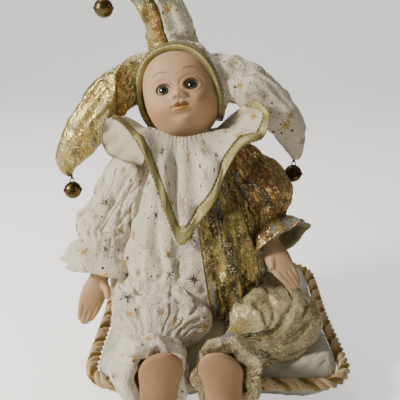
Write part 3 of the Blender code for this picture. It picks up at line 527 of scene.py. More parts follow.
brocadeColours = {
    "gold": (0.33, 0.235, 0.06), "champagne": (0.46, 0.38, 0.21), "brown": (0.07, 0.032, 0.012),
    "copper": (0.26, 0.11, 0.035), "olive": (0.075, 0.068, 0.022), "blue": (0.15, 0.20, 0.21),
    "purple": (0.12, 0.095, 0.12), "orange": (0.34, 0.15, 0.04), "bronze": (0.15, 0.10, 0.032),
    "black": (0.02, 0.015, 0.01),
}
brocadeKinds = {  # patches in order, their size and stretch, the share of foil, and two more colours
    "hat": {"patches": "gold olive bronze gold olive champagne gold blue bronze orange", "size": 0.0075,
            "stretch": 0.5, "foil": 0.7, "foilColour": (0.44, 0.33, 0.10), "glitter": (0.34, 0.28, 0.13)},
    "tunic": {"patches": "bronze gold olive gold brown gold black bronze olive blue", "size": 0.0055,
              "stretch": 0.16, "foil": 0.6, "foilColour": (0.50, 0.38, 0.11),
              "glitter": (0.34, 0.28, 0.12)},
    "sleeve": {"patches": "copper brown bronze copper copper copper blue brown gold bronze", "size": 0.0065,
               "stretch": 0.35, "foil": 0.55, "foilColour": (0.60, 0.38, 0.12),
               "glitter": (0.38, 0.24, 0.10)},
    "leg": {"patches": "champagne champagne gold champagne champagne champagne olive champagne purple "
                       "champagne champagne champagne", "size": 0.012,
            "stretch": 0.7, "foil": 0.3, "foilColour": (0.62, 0.45, 0.12), "glitter": (0.66, 0.58, 0.38)},
}
brocadeTones = {"gap": (0.03, 0.022, 0.012), "spark": (0.92, 0.80, 0.48), "dash": (0.03, 0.022, 0.014)}


def brocadeLook(kind):
    cloth = brocadeKinds[kind]
    names = cloth["patches"].split()
    look, tree, inputs = newLook(f"gold brocade {kind}", Sheen_Weight=0.1)
    parts = placeGroup(tree, brocadePrint, Cloth=clothPlace(tree), Patch=cloth["size"],
                       Stretch=cloth["stretch"], Foil=cloth["foil"])
    colours = [(k / len(names), brocadeColours[name]) for k, name in enumerate(names)]
    colour = steps(tree, parts["Patch Kind"], colours, True)
    colour = tint(tree, between(tree, parts["Glitter"], 0, 0.55, 0.4, 0.9), colour, cloth["glitter"])
    colour = tint(tree, between(tree, parts["Glitter"], 0.35, 0, 0.1, 0.4), colour, brocadeTones["gap"])
    colour = tint(tree, parts["Foil"], colour, cloth["foilColour"])
    spark = between(tree, parts["Glitter"], 0, 1, 0.86, 0.93)
    colour = tint(tree, calc(tree, "MULTIPLY", spark, 0.75), colour, brocadeTones["spark"])
    colour = tint(tree, calc(tree, "MULTIPLY", parts["Dash"], 0.85), colour, brocadeTones["dash"])
    tree.links.new(colour, inputs["Base Color"])
    shine = calc(tree, "MAXIMUM", parts["Foil"], between(tree, parts["Glitter"], 0.15, 0.9, 0.5, 0.9))
    metal = calc(tree, "MULTIPLY", shine, calc(tree, "SUBTRACT", 1.0, parts["Dash"]))
    tree.links.new(calc(tree, "MULTIPLY", metal, 0.9), inputs["Metallic"])
    tree.links.new(between(tree, metal, 0.6, 0.24), inputs["Roughness"])
    emboss(tree, inputs, parts["Relief"], 0.0005, 0.8)
    return look


def plainClothLook(name, colour, shade, roughness, thread, metallic=0.0, sheen=0.3, pileHeight=0.0002):
    look, tree, inputs = newLook(name, Roughness=roughness, Metallic=metallic, Sheen_Weight=sheen,
                                 Sheen_Roughness=0.4)
    pile = placeGroup(tree, clothPile, Cloth=clothPlace(tree), Thread=thread, Tuft=thread * 3)
    mixed = tint(tree, between(tree, pile["Mottle"], 0, 1, 0.3, 0.7), colour, shade)
    # painted shade between the woven threads: the weave's low places are darkened
    mixed = tint(tree, between(tree, pile["Weave"], 0, 0.25, -0.2, -1.0), mixed,
                 tuple(c * 0.6 for c in colour))
    tree.links.new(mixed, inputs["Base Color"])
    height = calc(tree, "ADD", calc(tree, "MULTIPLY", pile["Weave"], 0.4), pile["Height"])
    emboss(tree, inputs, height, pileHeight, 0.7)
    return look


print("looks: cloths ready")

# The floor, the lights and the camera

view = {"place": (-0.012, -0.392, 0.262), "down": 20, "lens": 51.75, "sensor": 36}
sweep = {"half": 3.0, "front": -2.0, "bend": 1.2, "radius": 1.0, "height": 3.0, "below": 0.4 * mm}
lamps = {  # place, size, power and colour
    "keyLight": ((-0.78, -0.34, 0.58), 0.18, 14.5, (1.0, 0.94, 0.84)),
    "fillLight": ((0.55, -0.85, 0.25), 0.8, 0.9, (1.0, 0.93, 0.84)),
    "topLight": ((-0.25, 0.35, 1.0), 0.6, 5.0, (1.0, 0.96, 0.90)),
}
lampTarget = (0, 0, 0.12)
air = {"colour": (1.0, 0.95, 0.86, 1), "strength": 0.15}
floorFinish = {"colour": (0.90, 0.90, 0.88, 1), "glow": 0.85}


def makeStage():
    turn = np.linspace(0, math.pi / 2, 16)
    bend = [(sweep["bend"] + sweep["radius"] * math.sin(a),
             sweep["radius"] * (1 - math.cos(a))) for a in turn]
    side = [(sweep["front"], 0.0), *bend, (bend[-1][0], sweep["height"])]
    ends = (-sweep["half"], sweep["half"])
    grid = np.array([[(x, y, z - sweep["below"]) for y, z in side] for x in ends])
    floor = surface("floor", grid, None, around=False)
    mesh = floor.data
    look, tree, inputs = newLook("pale floor", Roughness=0.85)
    inputs["Base Color"].default_value = floorFinish["colour"]
    inputs["Emission Color"].default_value = floorFinish["colour"]
    seen = node(tree, "ShaderNodeLightPath").outputs["Is Camera Ray"]  # pale to see, yet it lights nothing
    tree.links.new(calc(tree, "MULTIPLY", seen, floorFinish["glow"]), inputs["Emission Strength"])
    mesh.materials.clear()
    mesh.materials.append(look)
    for name, (place, size, power, colour) in lamps.items():
        data = bpy.data.lights.new(name, "AREA")
        data.size, data.energy, data.color = size, power, colour
        lamp = newObject(name, data)
        lamp.location = place
        lamp.rotation_euler = (Vector(lampTarget) - Vector(place)).to_track_quat("-Z", "Y").to_euler()
    world = bpy.data.worlds.new("studio")
    world.use_nodes = True
    for label, value in (("Color", air["colour"]), ("Strength", air["strength"])):
        world.node_tree.nodes["Background"].inputs[label].default_value = value
    bpy.context.scene.world = world
    data = bpy.data.cameras.new("photoView")
    data.lens, data.sensor_width = view["lens"], view["sensor"]
    camera = newObject("photoView", data)
    camera.location = view["place"]
    camera.rotation_euler = (math.radians(90 - view["down"]), 0, 0)
    bpy.context.scene.camera = camera


makeStage()
print("stage: floor, lights and camera ready")

# Cushion

cushion = {
    "side": 162 * mm, "cornerRadius": 20 * mm, "waist": 3 * mm, "height": 46 * mm, "seamHeight": 24 * mm,
    "footShare": 0.72, "columns": 160, "cordDiameter": 8.4 * mm, "cordStandoff": 1.0 * mm,
    "pucker": 1.3 * mm, "sag": 1.1 * mm, "spareCloth": 0.05, "most": 2.2 * mm,
}


def cushionOutline(share, count, grow=0.0):
    t = fullTurn * (np.arange(count) + 0.5) / count
    t = t + 0.13 * np.sin(4 * t)
    half = cushion["side"] / 2
    straight = half - cushion["cornerRadius"]
    xy = np.stack([np.cos(t), np.sin(t)], -1)
    xy = xy * half / np.abs(xy).max(1, keepdims=True)
    corner = np.abs(xy) - straight
    inCorner = (corner > 0).all(1)
    shrink = cushion["cornerRadius"] / np.hypot(corner[:, 0], corner[:, 1])
    roundedCorner = np.sign(xy) * (straight + corner * shrink[:, None])
    xy[inCorner] = roundedCorner[inCorner]
    distance = np.hypot(xy[:, 0], xy[:, 1])
    waist = cushion["waist"] * np.cos(2 * t) ** 2
    return xy * (((distance - waist) * share + grow) / distance)[:, None]


def makeCushion(look):
    seam, sole = cushion["seamHeight"], cushion["footShare"]
    levels = []
    for share in np.concatenate([np.linspace(0.06, sole, 10), np.linspace(sole, 1, 16)[1:]]):
        rise = max(0.0, (share - sole) / (1 - sole))
        levels.append((share, seam * (1 - math.sqrt(max(0, 1 - rise**2))), -1))
    for share in np.concatenate([np.linspace(0.995, 0.88, 14), np.linspace(0.86, 0.06, 26)]):
        crown = (1 - share**3.2) ** 0.75
        levels.append((share, seam + (cushion["height"] - seam) * crown, 1))
    rings = []
    for share, z, _ in levels:
        xy = cushionOutline(share, cushion["columns"])
        rings.append(np.column_stack([xy, np.full(len(xy), z)]))
    grid = np.array(rings)
    share = np.array([level[0] for level in levels])[:, None]
    top = np.array([level[2] for level in levels])[:, None]
    t = np.arctan2(grid[..., 1], grid[..., 0])
    pull = hump(share, 0.93, 0.07) * np.where(top > 0, 1.0, 0.5)
    pucker = pull * (0.9 * np.abs(np.sin(11 * t + 2 * np.sin(3 * t))) ** 0.7 + 0.5 * cloudy(grid, 0.012, 3))
    sag = cushion["sag"] * cloudy(grid, 0.035, 9) * ease(1.0, 0.8, share) * (top > 0)
    grid[..., 2] -= top * (pucker * cushion["pucker"]) * (share < 0.999) + np.maximum(sag, 0)
    piece = surface("cushionPad", grid, look)
    points = spots(piece.data)
    flat = np.hypot(points[:, 0], points[:, 1])
    seamHeld = hump(points[:, 2], cushion["seamHeight"], 4 * mm) * (flat > 70 * mm)
    onFloor = ease(4 * mm, 1.0 * mm, points[:, 2])
    stuffed(piece, np.maximum(np.clip(seamHeld * 1.4, 0, 1), onFloor), cushion["spareCloth"],
            cushion["most"])
    rounded(piece)
    return give(piece, "cushion_satin", "cushion", fill=0.7)


cord = {
    "lay": 18 * mm, "strand": 2.35 * mm, "offset": 1.95 * mm, "step": 1.3 * mm, "strands": 3,
    "sides": 12,
}


def shapeNode(tree, kind, links, **settings):  # the shape that one of Geometry Nodes' steps puts out
    return node(tree, f"GeometryNode{kind}", links, **settings).outputs[0]


def keepNumber(tree, shape, name, value):
    links = {"Geometry": shape, "Name": name, "Value": value}
    return shapeNode(tree, "StoreNamedAttribute", links, data_type="FLOAT", domain="POINT")


def finishTree(tree, shape, given, out):  # real geometry with its material
    whole = shapeNode(tree, "RealizeInstances", {"Geometry": shape})
    looked = shapeNode(tree, "SetMaterial", {"Geometry": whole, "Material": given["Look"]})
    tree.links.new(looked, out[0])
    return tree


def twistedCordTree():  # strands twisted round a line: a round of small circles, turned along it
    tree, given, out = newGroup(
        "twisted cord",
        [("Line", shapeKind, None), ("Lay", floatKind, 0.018), ("Strand Radius", floatKind, 0.0023),
         ("Offset", floatKind, 0.002), ("Strands", wholeKind, 3), ("Sides", wholeKind, 12),
         ("Look", finishKind, None)],
        [("Cord", shapeKind)], "GeometryNodeTree",
    )
    along = node(tree, "GeometryNodeSplineParameter").outputs["Length"]
    kept = keepNumber(tree, given["Line"], "along", along)
    tilt = calc(tree, "MULTIPLY", calc(tree, "DIVIDE", along, given["Lay"]), fullTurn)
    twisted = shapeNode(tree, "SetCurveTilt", {"Curve": kept, "Tilt": tilt})
    ring = shapeNode(tree, "CurvePrimitiveCircle",
                     {"Resolution": given["Strands"], "Radius": given["Offset"]})
    points = shapeNode(tree, "CurveToPoints", {"Curve": ring}, mode="EVALUATED")
    marked = keepNumber(tree, points, "strand", node(tree, "GeometryNodeInputIndex").outputs[0])
    links = {"Resolution": given["Sides"], "Radius": given["Strand Radius"]}
    small = shapeNode(tree, "CurvePrimitiveCircle", links)
    wound = keepNumber(tree, small, "round", node(tree, "GeometryNodeSplineParameter").outputs["Factor"])
    copies = shapeNode(tree, "InstanceOnPoints", {"Points": marked, "Instance": wound})
    profile = shapeNode(tree, "RealizeInstances", {"Geometry": copies})
    made = shapeNode(tree, "CurveToMesh", {"Curve": twisted, "Profile Curve": profile})
    return finishTree(tree, made, given, out)


def lineObject(name, points, closed=False):
    data = bpy.data.curves.new(name, "CURVE")
    data.dimensions = "3D"
    line = data.splines.new("POLY")
    line.points.add(len(points) - 1)
    places = np.column_stack([points, np.ones(len(points))])
    line.points.foreach_set("co", places.astype(np.float32).ravel())
    line.use_cyclic_u = closed
    return newObject(name, data)


def runTree(line, tree, look, **values):  # the tree's result as a plain mesh object with the line's name
    change = line.modifiers.new("tree", "NODES")
    change.node_group = tree
    sockets = {s.name: s.identifier for s in tree.interface.items_tree if s.in_out == "INPUT"}
    for label, value in values.items():
        change[sockets[label.replace("_", " ")]] = value
    change[sockets["Look"]] = look
    evaluated = line.evaluated_get(bpy.context.evaluated_depsgraph_get())
    mesh = bpy.data.meshes.new_from_object(evaluated)
    name = line.name
    bpy.data.objects.remove(line)
    mesh.shade_smooth()
    return newObject(name, mesh)


cordFinish = {
    "strands": ((0.70, 0.53, 0.31), (0.66, 0.42, 0.21), (0.30, 0.19, 0.035)),
    "threadValleyShade": (0.30, 0.19, 0.08), "threads": 7, "threadLay": 5.5 * mm / 3,
}


def cordLook():
    look, tree, inputs = newLook("twisted cord", Sheen_Weight=0.25, Sheen_Roughness=0.35)
    strand, along, wound = (painted(tree, name) for name in ("strand", "along", "round"))
    places = [(0.3 * k, colour) for k, colour in enumerate(cordFinish["strands"])]
    colour = steps(tree, calc(tree, "DIVIDE", strand, 3.0), places, True)
    aside = calc(tree, "MULTIPLY", wound, fullTurn * cordFinish["threads"])
    ahead = calc(tree, "MULTIPLY", along, -fullTurn / cordFinish["threadLay"])
    thread = calc(tree, "MULTIPLY_ADD", calc(tree, "SINE", calc(tree, "ADD", aside, ahead)), 0.5, 0.5)
    # painted shade in the valleys between the twisted threads
    colour = tint(tree, between(tree, thread, 0.5, 0.0), colour, cordFinish["threadValleyShade"])
    tree.links.new(colour, inputs["Base Color"])
    metal = calc(tree, "GREATER_THAN", strand, 1.5)
    tree.links.new(calc(tree, "MULTIPLY", metal, 0.9), inputs["Metallic"])
    tree.links.new(between(tree, metal, 0.55, 0.3), inputs["Roughness"])
    emboss(tree, inputs, thread, 0.0004, 0.8)
    return look


def makeCord():
    offset = cushion["cordDiameter"] / 2 + cushion["cordStandoff"]
    xy = cushionOutline(1.0, 500, offset)
    route = evenly(np.column_stack([xy, np.full(len(xy), cushion["seamHeight"])]), cord["step"],
                   closed=True)
    length = np.linalg.norm(np.roll(route, -1, 0) - route, axis=1).sum()
    lay = length / round(length / cord["lay"])
    line = lineObject("cushionCord", route, closed=True)
    piece = runTree(line, twistedCordTree(), cordLook(), Lay=lay, Strand_Radius=cord["strand"],
                    Offset=cord["offset"], Strands=cord["strands"], Sides=cord["sides"])
    return give(piece, "twisted_cord", "cushion_cord")


satinLook = plainClothLook("cushion satin", (0.60, 0.59, 0.47), (0.50, 0.49, 0.38), 0.34, 0.0005, sheen=0.3)
makeCushion(satinLook)
makeCord()
print("cushion: pad and cord ready")

# Tunic: two halves that meet at the middle seam

tunic = {
    "middleX": -18 * mm, "halfWidth": 58 * mm, "depth": 84 * mm, "baseZ": 36 * mm, "topZ": 160 * mm,
    "squareness": 0.85, "crumple": 1.4 * mm, "fine": 0.35 * mm, "spareCloth": 0.10, "most": 2.6 * mm,
    "seamLip": 0.4 * mm, "seamStep": 0.8 * mm, "seamTop": -21 * mm, "seamBase": -1 * mm, "rows": 84,
    "columns": 100,
    "levels": ((0, 0.88, 0.90, 0), (0.10, 1, 1.04, 0.04), (0.28, 0.96, 1.02, 0.06),
               (0.46, 0.86, 0.90, 0.02), (0.64, 0.75, 0.78, -0.06), (0.82, 0.66, 0.62, -0.15),
               (0.94, 0.52, 0.46, -0.22), (1, 0.36, 0.34, -0.25)),
}
tunicFolds = {  # where round the body, how wide, how deep in mm, and how far up it runs
    "tunicWhite": ((1.75, 0.10, 4.0, 0.9), (2.05, 0.09, 4.0, 0.8), (2.42, 0.12, 4.6, 0.7),
                   (2.8, 0.14, 3.5, 0.6), (3.5, 0.2, 3, 0.9), (4.2, 0.2, 3, 0.9)),
    "tunicGold": ((1.18, 0.08, 4.4, 0.95), (0.92, 0.09, 4.6, 0.9), (0.66, 0.09, 4.2, 0.9),
                  (0.35, 0.12, 4.0, 0.8), (-0.5, 0.2, 3, 0.9), (-1.1, 0.2, 3, 0.9)),
}


def makeTunicHalf(name, look, slot, replaced, other):
    toWhite = other == "tunic_gold"
    levels = curveThrough(tunic["levels"], tunic["rows"])
    rings = []
    for share, wide, deep, forward in levels:
        halfWidth, halfDepth = tunic["halfWidth"] * wide, tunic["depth"] / 2 * deep
        z = tunic["baseZ"] + (tunic["topZ"] - tunic["baseZ"]) * share
        edge = tunic["seamBase"] + (tunic["seamTop"] - tunic["seamBase"]) * share
        seamPlace = (edge - tunic["middleX"]) / halfWidth
        opening = math.acos(float(signedPower(seamPlace, 1 / tunic["squareness"])))
        start, end = (opening, fullTurn - opening) if toWhite else (-opening, opening)
        t = np.linspace(start, end, tunic["columns"])
        fold = 0.8 * mm * (1 - share) * np.sin(9 * t + 3 * share)
        for at, width, depth, reach in tunicFolds[name]:
            drift = at + 0.12 * math.sin(4 * share + at * 5)
            deepness = depth * mm * float(ease(reach, reach - 0.35, share))
            fold = fold - deepness * hump(t, drift, width) * (0.6 + 0.4 * math.sin(3 * share + at * 9))
            fold = fold + 0.5 * deepness * hump(t, drift + 1.6 * width, width)
        seam = np.minimum(np.abs(t - start), np.abs(t - end)) * halfDepth
        fold = fold * ease(0.0, 5 * mm, seam) + tunic["seamLip"] * np.exp(-seam / (1.5 * mm))
        cos, sin = np.cos(t), np.sin(t)
        x = tunic["middleX"] + (halfWidth + fold) * signedPower(cos, tunic["squareness"])
        y = -tunic["depth"] / 2 * forward - (halfDepth + fold) * signedPower(sin, tunic["squareness"])
        x[[0, -1]] = edge
        inward = tunic["seamStep"] * np.sign(y[0] - y[-1])  # a short step keeps the seam's edge sharp
        x = np.concatenate([x, [edge, edge]])
        y = np.concatenate([y, [y[-1] + inward, y[0] - inward]])
        rings.append(np.column_stack([x, y, np.full(len(x), z)]))
    piece = surface(name, np.array(rings), look)
    gap = gapTo(spots(piece.data), other, "leg_white", "leg_gold", "collar", "cushion")
    stuffed(piece, ease(4 * mm, 1.8 * mm, gap), tunic["spareCloth"], tunic["most"])
    rounded(piece)
    points = spots(piece.data)
    rumple = tunic["crumple"] * (creased(points * (1, 1, 0.4), 0.010, 5) - 0.5)
    rumple = rumple + tunic["fine"] * cloudy(points, 0.0035, 8)
    pushOut(piece, rumple * ease(0.5 * mm, 5 * mm, gapTo(points, other)))
    return give(piece, slot, replaced, fill=0.5)


starVelour = starLook()
makeTunicHalf("tunicWhite", starVelour, "white_star_cloth", "tunic_white", "tunic_gold")
makeTunicHalf("tunicGold", brocadeLook("tunic"), "gold_brocade", "tunic_gold", "tunic_white")
print("tunic: both halves ready")

# Sleeves and trouser legs: a stuffed puff, drawn in by elastic, with a ruffle round the hand or foot

limbs = {  # rows of place and two half-widths in mm; the elastic is at row 4
    "sleeveWhite": ((-46, 9, 153, 11, 12), (-58, 6, 138, 17, 17), (-69, 2, 118, 22, 20),
                    (-77, -2, 100, 26, 22), (-79, -6, 87, 21, 18), (-81, -8, 79.5, 27, 22),
                    (-82, -9, 72, 30, 24)),
    "sleeveGold": ((10, 9, 156, 11, 12), (20, 5, 143, 15, 16), (30, 0, 129, 19, 19),
                   (35, -4, 117, 18, 18), (37, -8, 107, 13, 13), (41, -13, 100, 19, 17),
                   (46, -20, 94, 23, 19)),
    "legWhite": ((-46, -8, 58, 25, 17), (-45, -26, 58, 30, 18), (-42, -46, 57, 33, 18),
                 (-40, -62, 53, 32, 18), (-41, -75, 47, 18, 13), (-43, -86, 45, 24, 18),
                 (-44, -94, 41, 24.5, 27.5), (-39, -102, 39.5, 17.5, 26)),
    "legGold": ((20, -6, 54, 24, 15), (37, -24, 52, 30, 16), (38, -47, 49, 33, 17), (27, -68, 41, 30, 18),
                (6, -80, 44, 14, 12), (4, -87, 45, 18, 16), (7, -95, 41, 20.5, 27),
                (4, -102, 39, 20, 27.5)),
}
limbCloth = {
    "columns": 128, "stepsPerRow": 10, "elasticRow": 4, "cloth": 1.2 * mm, "pleats": 21,
    "pleatDepth": 0.10, "ruffleWaves": 7, "ruffleDepth": 0.08, "puffFolds": 5, "puffDepth": 0.05,
    "pocket": 10 * mm, "hem": 1.3 * mm, "hemSteps": 1.9, "creaseDepth": 0.13, "cloudDepth": 0.05,
    "crumple": 1.5 * mm, "fine": 0.35 * mm, "spareCloth": 0.12, "most": 3 * mm,
    "closing": {"sleeveWhite": 0.35, "sleeveGold": 0.1, "legWhite": 0.42, "legGold": 0.40},
}
limbNeighbours = {
    "sleeveWhite": ("tunic_white", "collar", "leg_white"), "sleeveGold": ("tunic_gold", "collar"),
    "legWhite": ("tunic_white", "leg_gold", "cushion", "sleeve_white"),
    "legGold": ("tunic_gold", "leg_white", "cushion"),
}


def limbLine(name):
    rows = limbs[name]
    return curveThrough(rows, limbCloth["stepsPerRow"] * (len(rows) - 1) + 1) * mm


def limbEnd(name):  # where the elastic is, and which way the hand or foot leaves it
    line, k = limbLine(name), limbCloth["stepsPerRow"] * limbCloth["elasticRow"]
    return line[k, :3], unit(line[k + limbCloth["stepsPerRow"], :3] - line[k, :3])


def makeLimb(name, reference, wristRadius, look, slot, replaced, facingWay=None, seed=1, lining=None):
    line = limbLine(name)
    elastic = limbCloth["stepsPerRow"] * limbCloth["elasticRow"]
    count, columns = len(line), limbCloth["columns"]
    share = np.arange(count)[:, None] / (count - 1)
    pulled = elastic / (count - 1)
    t = np.arange(columns)[None, :] * fullTurn / columns
    near = np.exp(-np.abs(share - pulled) / 0.08)
    pleats = np.abs(np.cos(limbCloth["pleats"] / 2 * t + 1.5 * np.sin(3 * t + seed) + 2 * np.sin(2 * t)))
    pleats = limbCloth["pleatDepth"] * near * (pleats - 0.6)
    waves = np.cos(limbCloth["ruffleWaves"] * t + 0.7 * np.sin(2 * t + seed))
    ruffle = limbCloth["ruffleDepth"] * ease(pulled, 1.0, share) * waves
    folds = np.cos(limbCloth["puffFolds"] * t + 7 * share)
    puff = limbCloth["puffDepth"] * ease(pulled, 0.4 * pulled, share) * folds
    domain = np.stack([np.cos(t) * 2.6 + 0 * share, np.sin(t) * 2.6 + 0 * share, 2.4 * share + 0 * t], -1)
    creases = -hump(cloudy(domain, 1.0, seed + 40), 0, 0.10)
    creases = creases * ease(1.0, 0.6, np.abs(share - 0.3 * pulled) / 0.6)
    puff = puff + limbCloth["creaseDepth"] * creases
    puff = puff + limbCloth["cloudDepth"] * cloudy(domain, 1.6, seed + 50)
    hem = limbCloth["hem"] * hump(np.arange(count), count - 2.5, limbCloth["hemSteps"])
    middle = line[:, None, :3]

    def shaped(grow):
        rings = ovals(line, reference, columns, facingWay, grow)
        return middle + (rings - middle) * (1 + ruffle + puff + pleats)[..., None]

    outside = shaped(hem)
    closing = 1 - limbCloth["closing"][name] * ease(count - 1.5, count - 5, np.arange(count))[:, None, None]
    inside = (middle + (shaped(-limbCloth["cloth"] - hem) - middle) * closing)[:elastic:-1]
    end, way = limbEnd(name)
    faceWay = unit(np.gradient(line[:, :3], axis=0)[elastic]) if facingWay is None else np.array(facingWay)
    pocket = [across(end + way * k, faceWay, reference, wristRadius, wristRadius, columns)
              for k in (0.0, -0.5 * limbCloth["pocket"], -limbCloth["pocket"])]
    piece = surface(name, np.concatenate([outside, inside, pocket]), look, lining=lining,
                    liningFrom=count - 1)
    row = np.concatenate([np.repeat(np.arange(count + len(inside) + 3), columns), [0, 99]])
    gap = gapTo(spots(piece.data), *limbNeighbours[name])
    held = np.maximum(ease(elastic - 7, elastic - 1, row), ease(4 * mm, 1.5 * mm, gap))
    stuffed(piece, held, limbCloth["spareCloth"], limbCloth["most"])
    rounded(piece)
    points = spots(piece.data)
    rumple = limbCloth["crumple"] * (creased(points, 0.014, seed + 4) - 0.5)
    pushOut(piece, rumple + limbCloth["fine"] * cloudy(points, 0.0035, seed + 8))
    return give(piece, slot, replaced, fill=0.6)


cuffLining = plainClothLook("cuff lining", (0.27, 0.235, 0.12), (0.20, 0.17, 0.08), 0.5, 0.0005, sheen=0.3)
makeLimb("sleeveWhite", forwards, 6.8 * mm, starVelour, "white_star_cloth", "sleeve_white", seed=1)
makeLimb("sleeveGold", forwards, 6.8 * mm, brocadeLook("sleeve"), "gold_brocade", "sleeve_gold", seed=2,
         lining=cuffLining)
makeLimb("legWhite", upward, 8.4 * mm, starVelour, "white_star_cloth", "leg_white", (0, -1, 0), seed=3)
makeLimb("legGold", upward, 8.4 * mm, brocadeLook("leg"), "gold_brocade", "leg_gold", (0, -1, 0), seed=4)
print("costume: sleeves and trouser legs ready")

# Head

head = {
    "centre": (-25 * mm, 13 * mm, 195 * mm), "halfWidth": 26.5 * mm, "halfDepth": 26.5 * mm,
    "crown": 31 * mm, "chin": 33 * mm, "fullness": 2.3, "looksUp": 22, "turn": 1, "lean": 12,
    "columns": 250, "rows": 190, "neckRadius": 11 * mm, "lidEdge": 0.5 * mm, "lidCrease": 0.35 * mm,
    "socket": 2.4 * mm,
}
faceForms = {  # side, height, widths across and up, and how far proud, in mm; a side place is on both sides
    "forehead": (0, 12, 15, 9, 0.8), "eye hollow": (9.6, -1.0, 6.5, 5.0, -1.9),
    "cheek": (13, -13.5, 8, 7, 2.8), "bridge": (0, -3, 3.4, 5, 0.4), "nose": (0, -7.2, 3.5, 3.0, 4.6),
    "nostril wing": (3.7, -8.2, 1.8, 1.6, 2.0), "muzzle": (0, -14, 8, 5, 2),
    "upper lip": (1.8, -13.2, 2.4, 1.3, 1.7), "mouth line": (0, -14.9, 4.8, 0.5, -1.1),
    "lower lip": (0, -16.6, 3.6, 1.5, 2.0), "under lip": (0, -19.4, 5, 1.6, -1.2),
    "chin": (0, -24.5, 6.5, 4.5, 2.8), "lip corner": (5.5, -14.9, 1.0, 0.9, -0.7),
    "groove under nose": (0, -10.8, 0.9, 1.3, -0.4), "nostril": (1.8, -9.3, 0.7, 0.5, -0.8),
}
eye = {
    "side": 9.6 * mm, "height": -2 * mm, "halfWidth": 4.7, "over": 3.7, "under": 3.2, "middle": 3.6,
    "radius": 5.4 * mm, "iris": 3.2, "pupil": 1.95, "behind": -0.1 * mm, "bulge": 0.06, "rows": 40,
    "columns": 64,
}


def placed(turn):
    made = Euler([-math.radians(k) for k in (head["looksUp"], head["lean"], turn)]).to_matrix().to_4x4()
    made.translation = head["centre"]
    return np.array(made)


headMatrix = placed(head["turn"])


def skullRadius(direction):
    x, y, z = (direction[..., k] for k in range(3))
    tall = np.where(z > 0, head["crown"], head["chin"])
    parts = [(x, head["halfWidth"]), (y, head["halfDepth"]), (z, tall)]
    return sum(np.abs(c / h) ** head["fullness"] for c, h in parts) ** (-1 / head["fullness"])


def faceRelief(x, z):
    x, z = np.abs(x) / mm, z / mm
    return sum(p * hump(x, s, w) * hump(z, h, t) for s, h, w, t, p in faceForms.values()) * mm


def eyeOpening(x, z):  # how far inside the eye's oval opening a place is, in mm, below 0 outside it
    tall = np.where(z > 0, eye["over"], eye["under"])
    return eye["middle"] * (1 - np.hypot(x / eye["halfWidth"], z / tall))


def plainFace(x, z):  # the skull's front without features, at a place in the face
    total = np.abs(x / head["halfWidth"]) ** head["fullness"]
    total = total + np.abs(z / np.where(z > 0, head["crown"], head["chin"])) ** head["fullness"]
    return -head["halfDepth"] * np.clip(1 - total, 0, 1) ** (1 / head["fullness"])


def headGrid():
    s = np.linspace(0, 1, head["rows"] + 1)[1:-1]
    polar = math.pi * (s + 0.045 * np.sin(fullTurn * s + 0.6) - 0.025 * (1 - s))
    a = fullTurn * np.arange(head["columns"]) / head["columns"]
    azimuth = a - 0.72 * np.sin(a)  # more columns in the face than at the back
    flat = np.sin(polar)[:, None]
    tall = -np.cos(polar)[:, None] * np.ones_like(a)
    direction = unit(np.stack([np.sin(azimuth) * flat, -np.cos(azimuth) * flat, tall], -1))
    points = direction * skullRadius(direction)[..., None]
    frontness = ease(0.0, 0.45, -direction[..., 1])
    points[..., 1] -= faceRelief(points[..., 0], points[..., 2]) * frontness
    x = (np.abs(points[..., 0]) - eye["side"]) / mm
    z = (points[..., 2] - eye["height"]) / mm
    inFront = ease(5.0, 8.0, -points[..., 1] / mm)
    opening = np.where(inFront > 0, eyeOpening(x, z), -9.0)
    points[..., 1] -= head["lidEdge"] * hump(opening, -0.9, 0.9) * inFront
    points[..., 1] += head["lidCrease"] * hump(opening, -2.6, 0.45) * ease(0.5, 2.5, z) * inFront
    points[..., 1] += head["socket"] * ease(0.0, 0.5, opening) * inFront
    return points


makeup = {  # in mm on the face, then each paint's colour and strength
    "mouthWide": 5.3, "mouthHeight": -14.9, "upperLip": 2.9, "bow": 0.28, "lowerLip": 3.3,
    "browSide": 10.2, "browHeight": 10.1, "lashes": 17,
    "paints": {"blush": ((0.44, 0.20, 0.08), 0.5), "paintedSocketShade": ((0.36, 0.21, 0.13), 0.4),
               "lowerLip": ((0.46, 0.21, 0.05), 0.95), "upperLip": ((0.24, 0.11, 0.03), 0.95),
               "mouthLine": ((0.08, 0.025, 0.012), 0.9), "brow": ((0.10, 0.04, 0.018), 0.9),
               "lashes": ((0.06, 0.03, 0.02), 0.85), "liner": ((0.03, 0.016, 0.012), 0.95)},
}


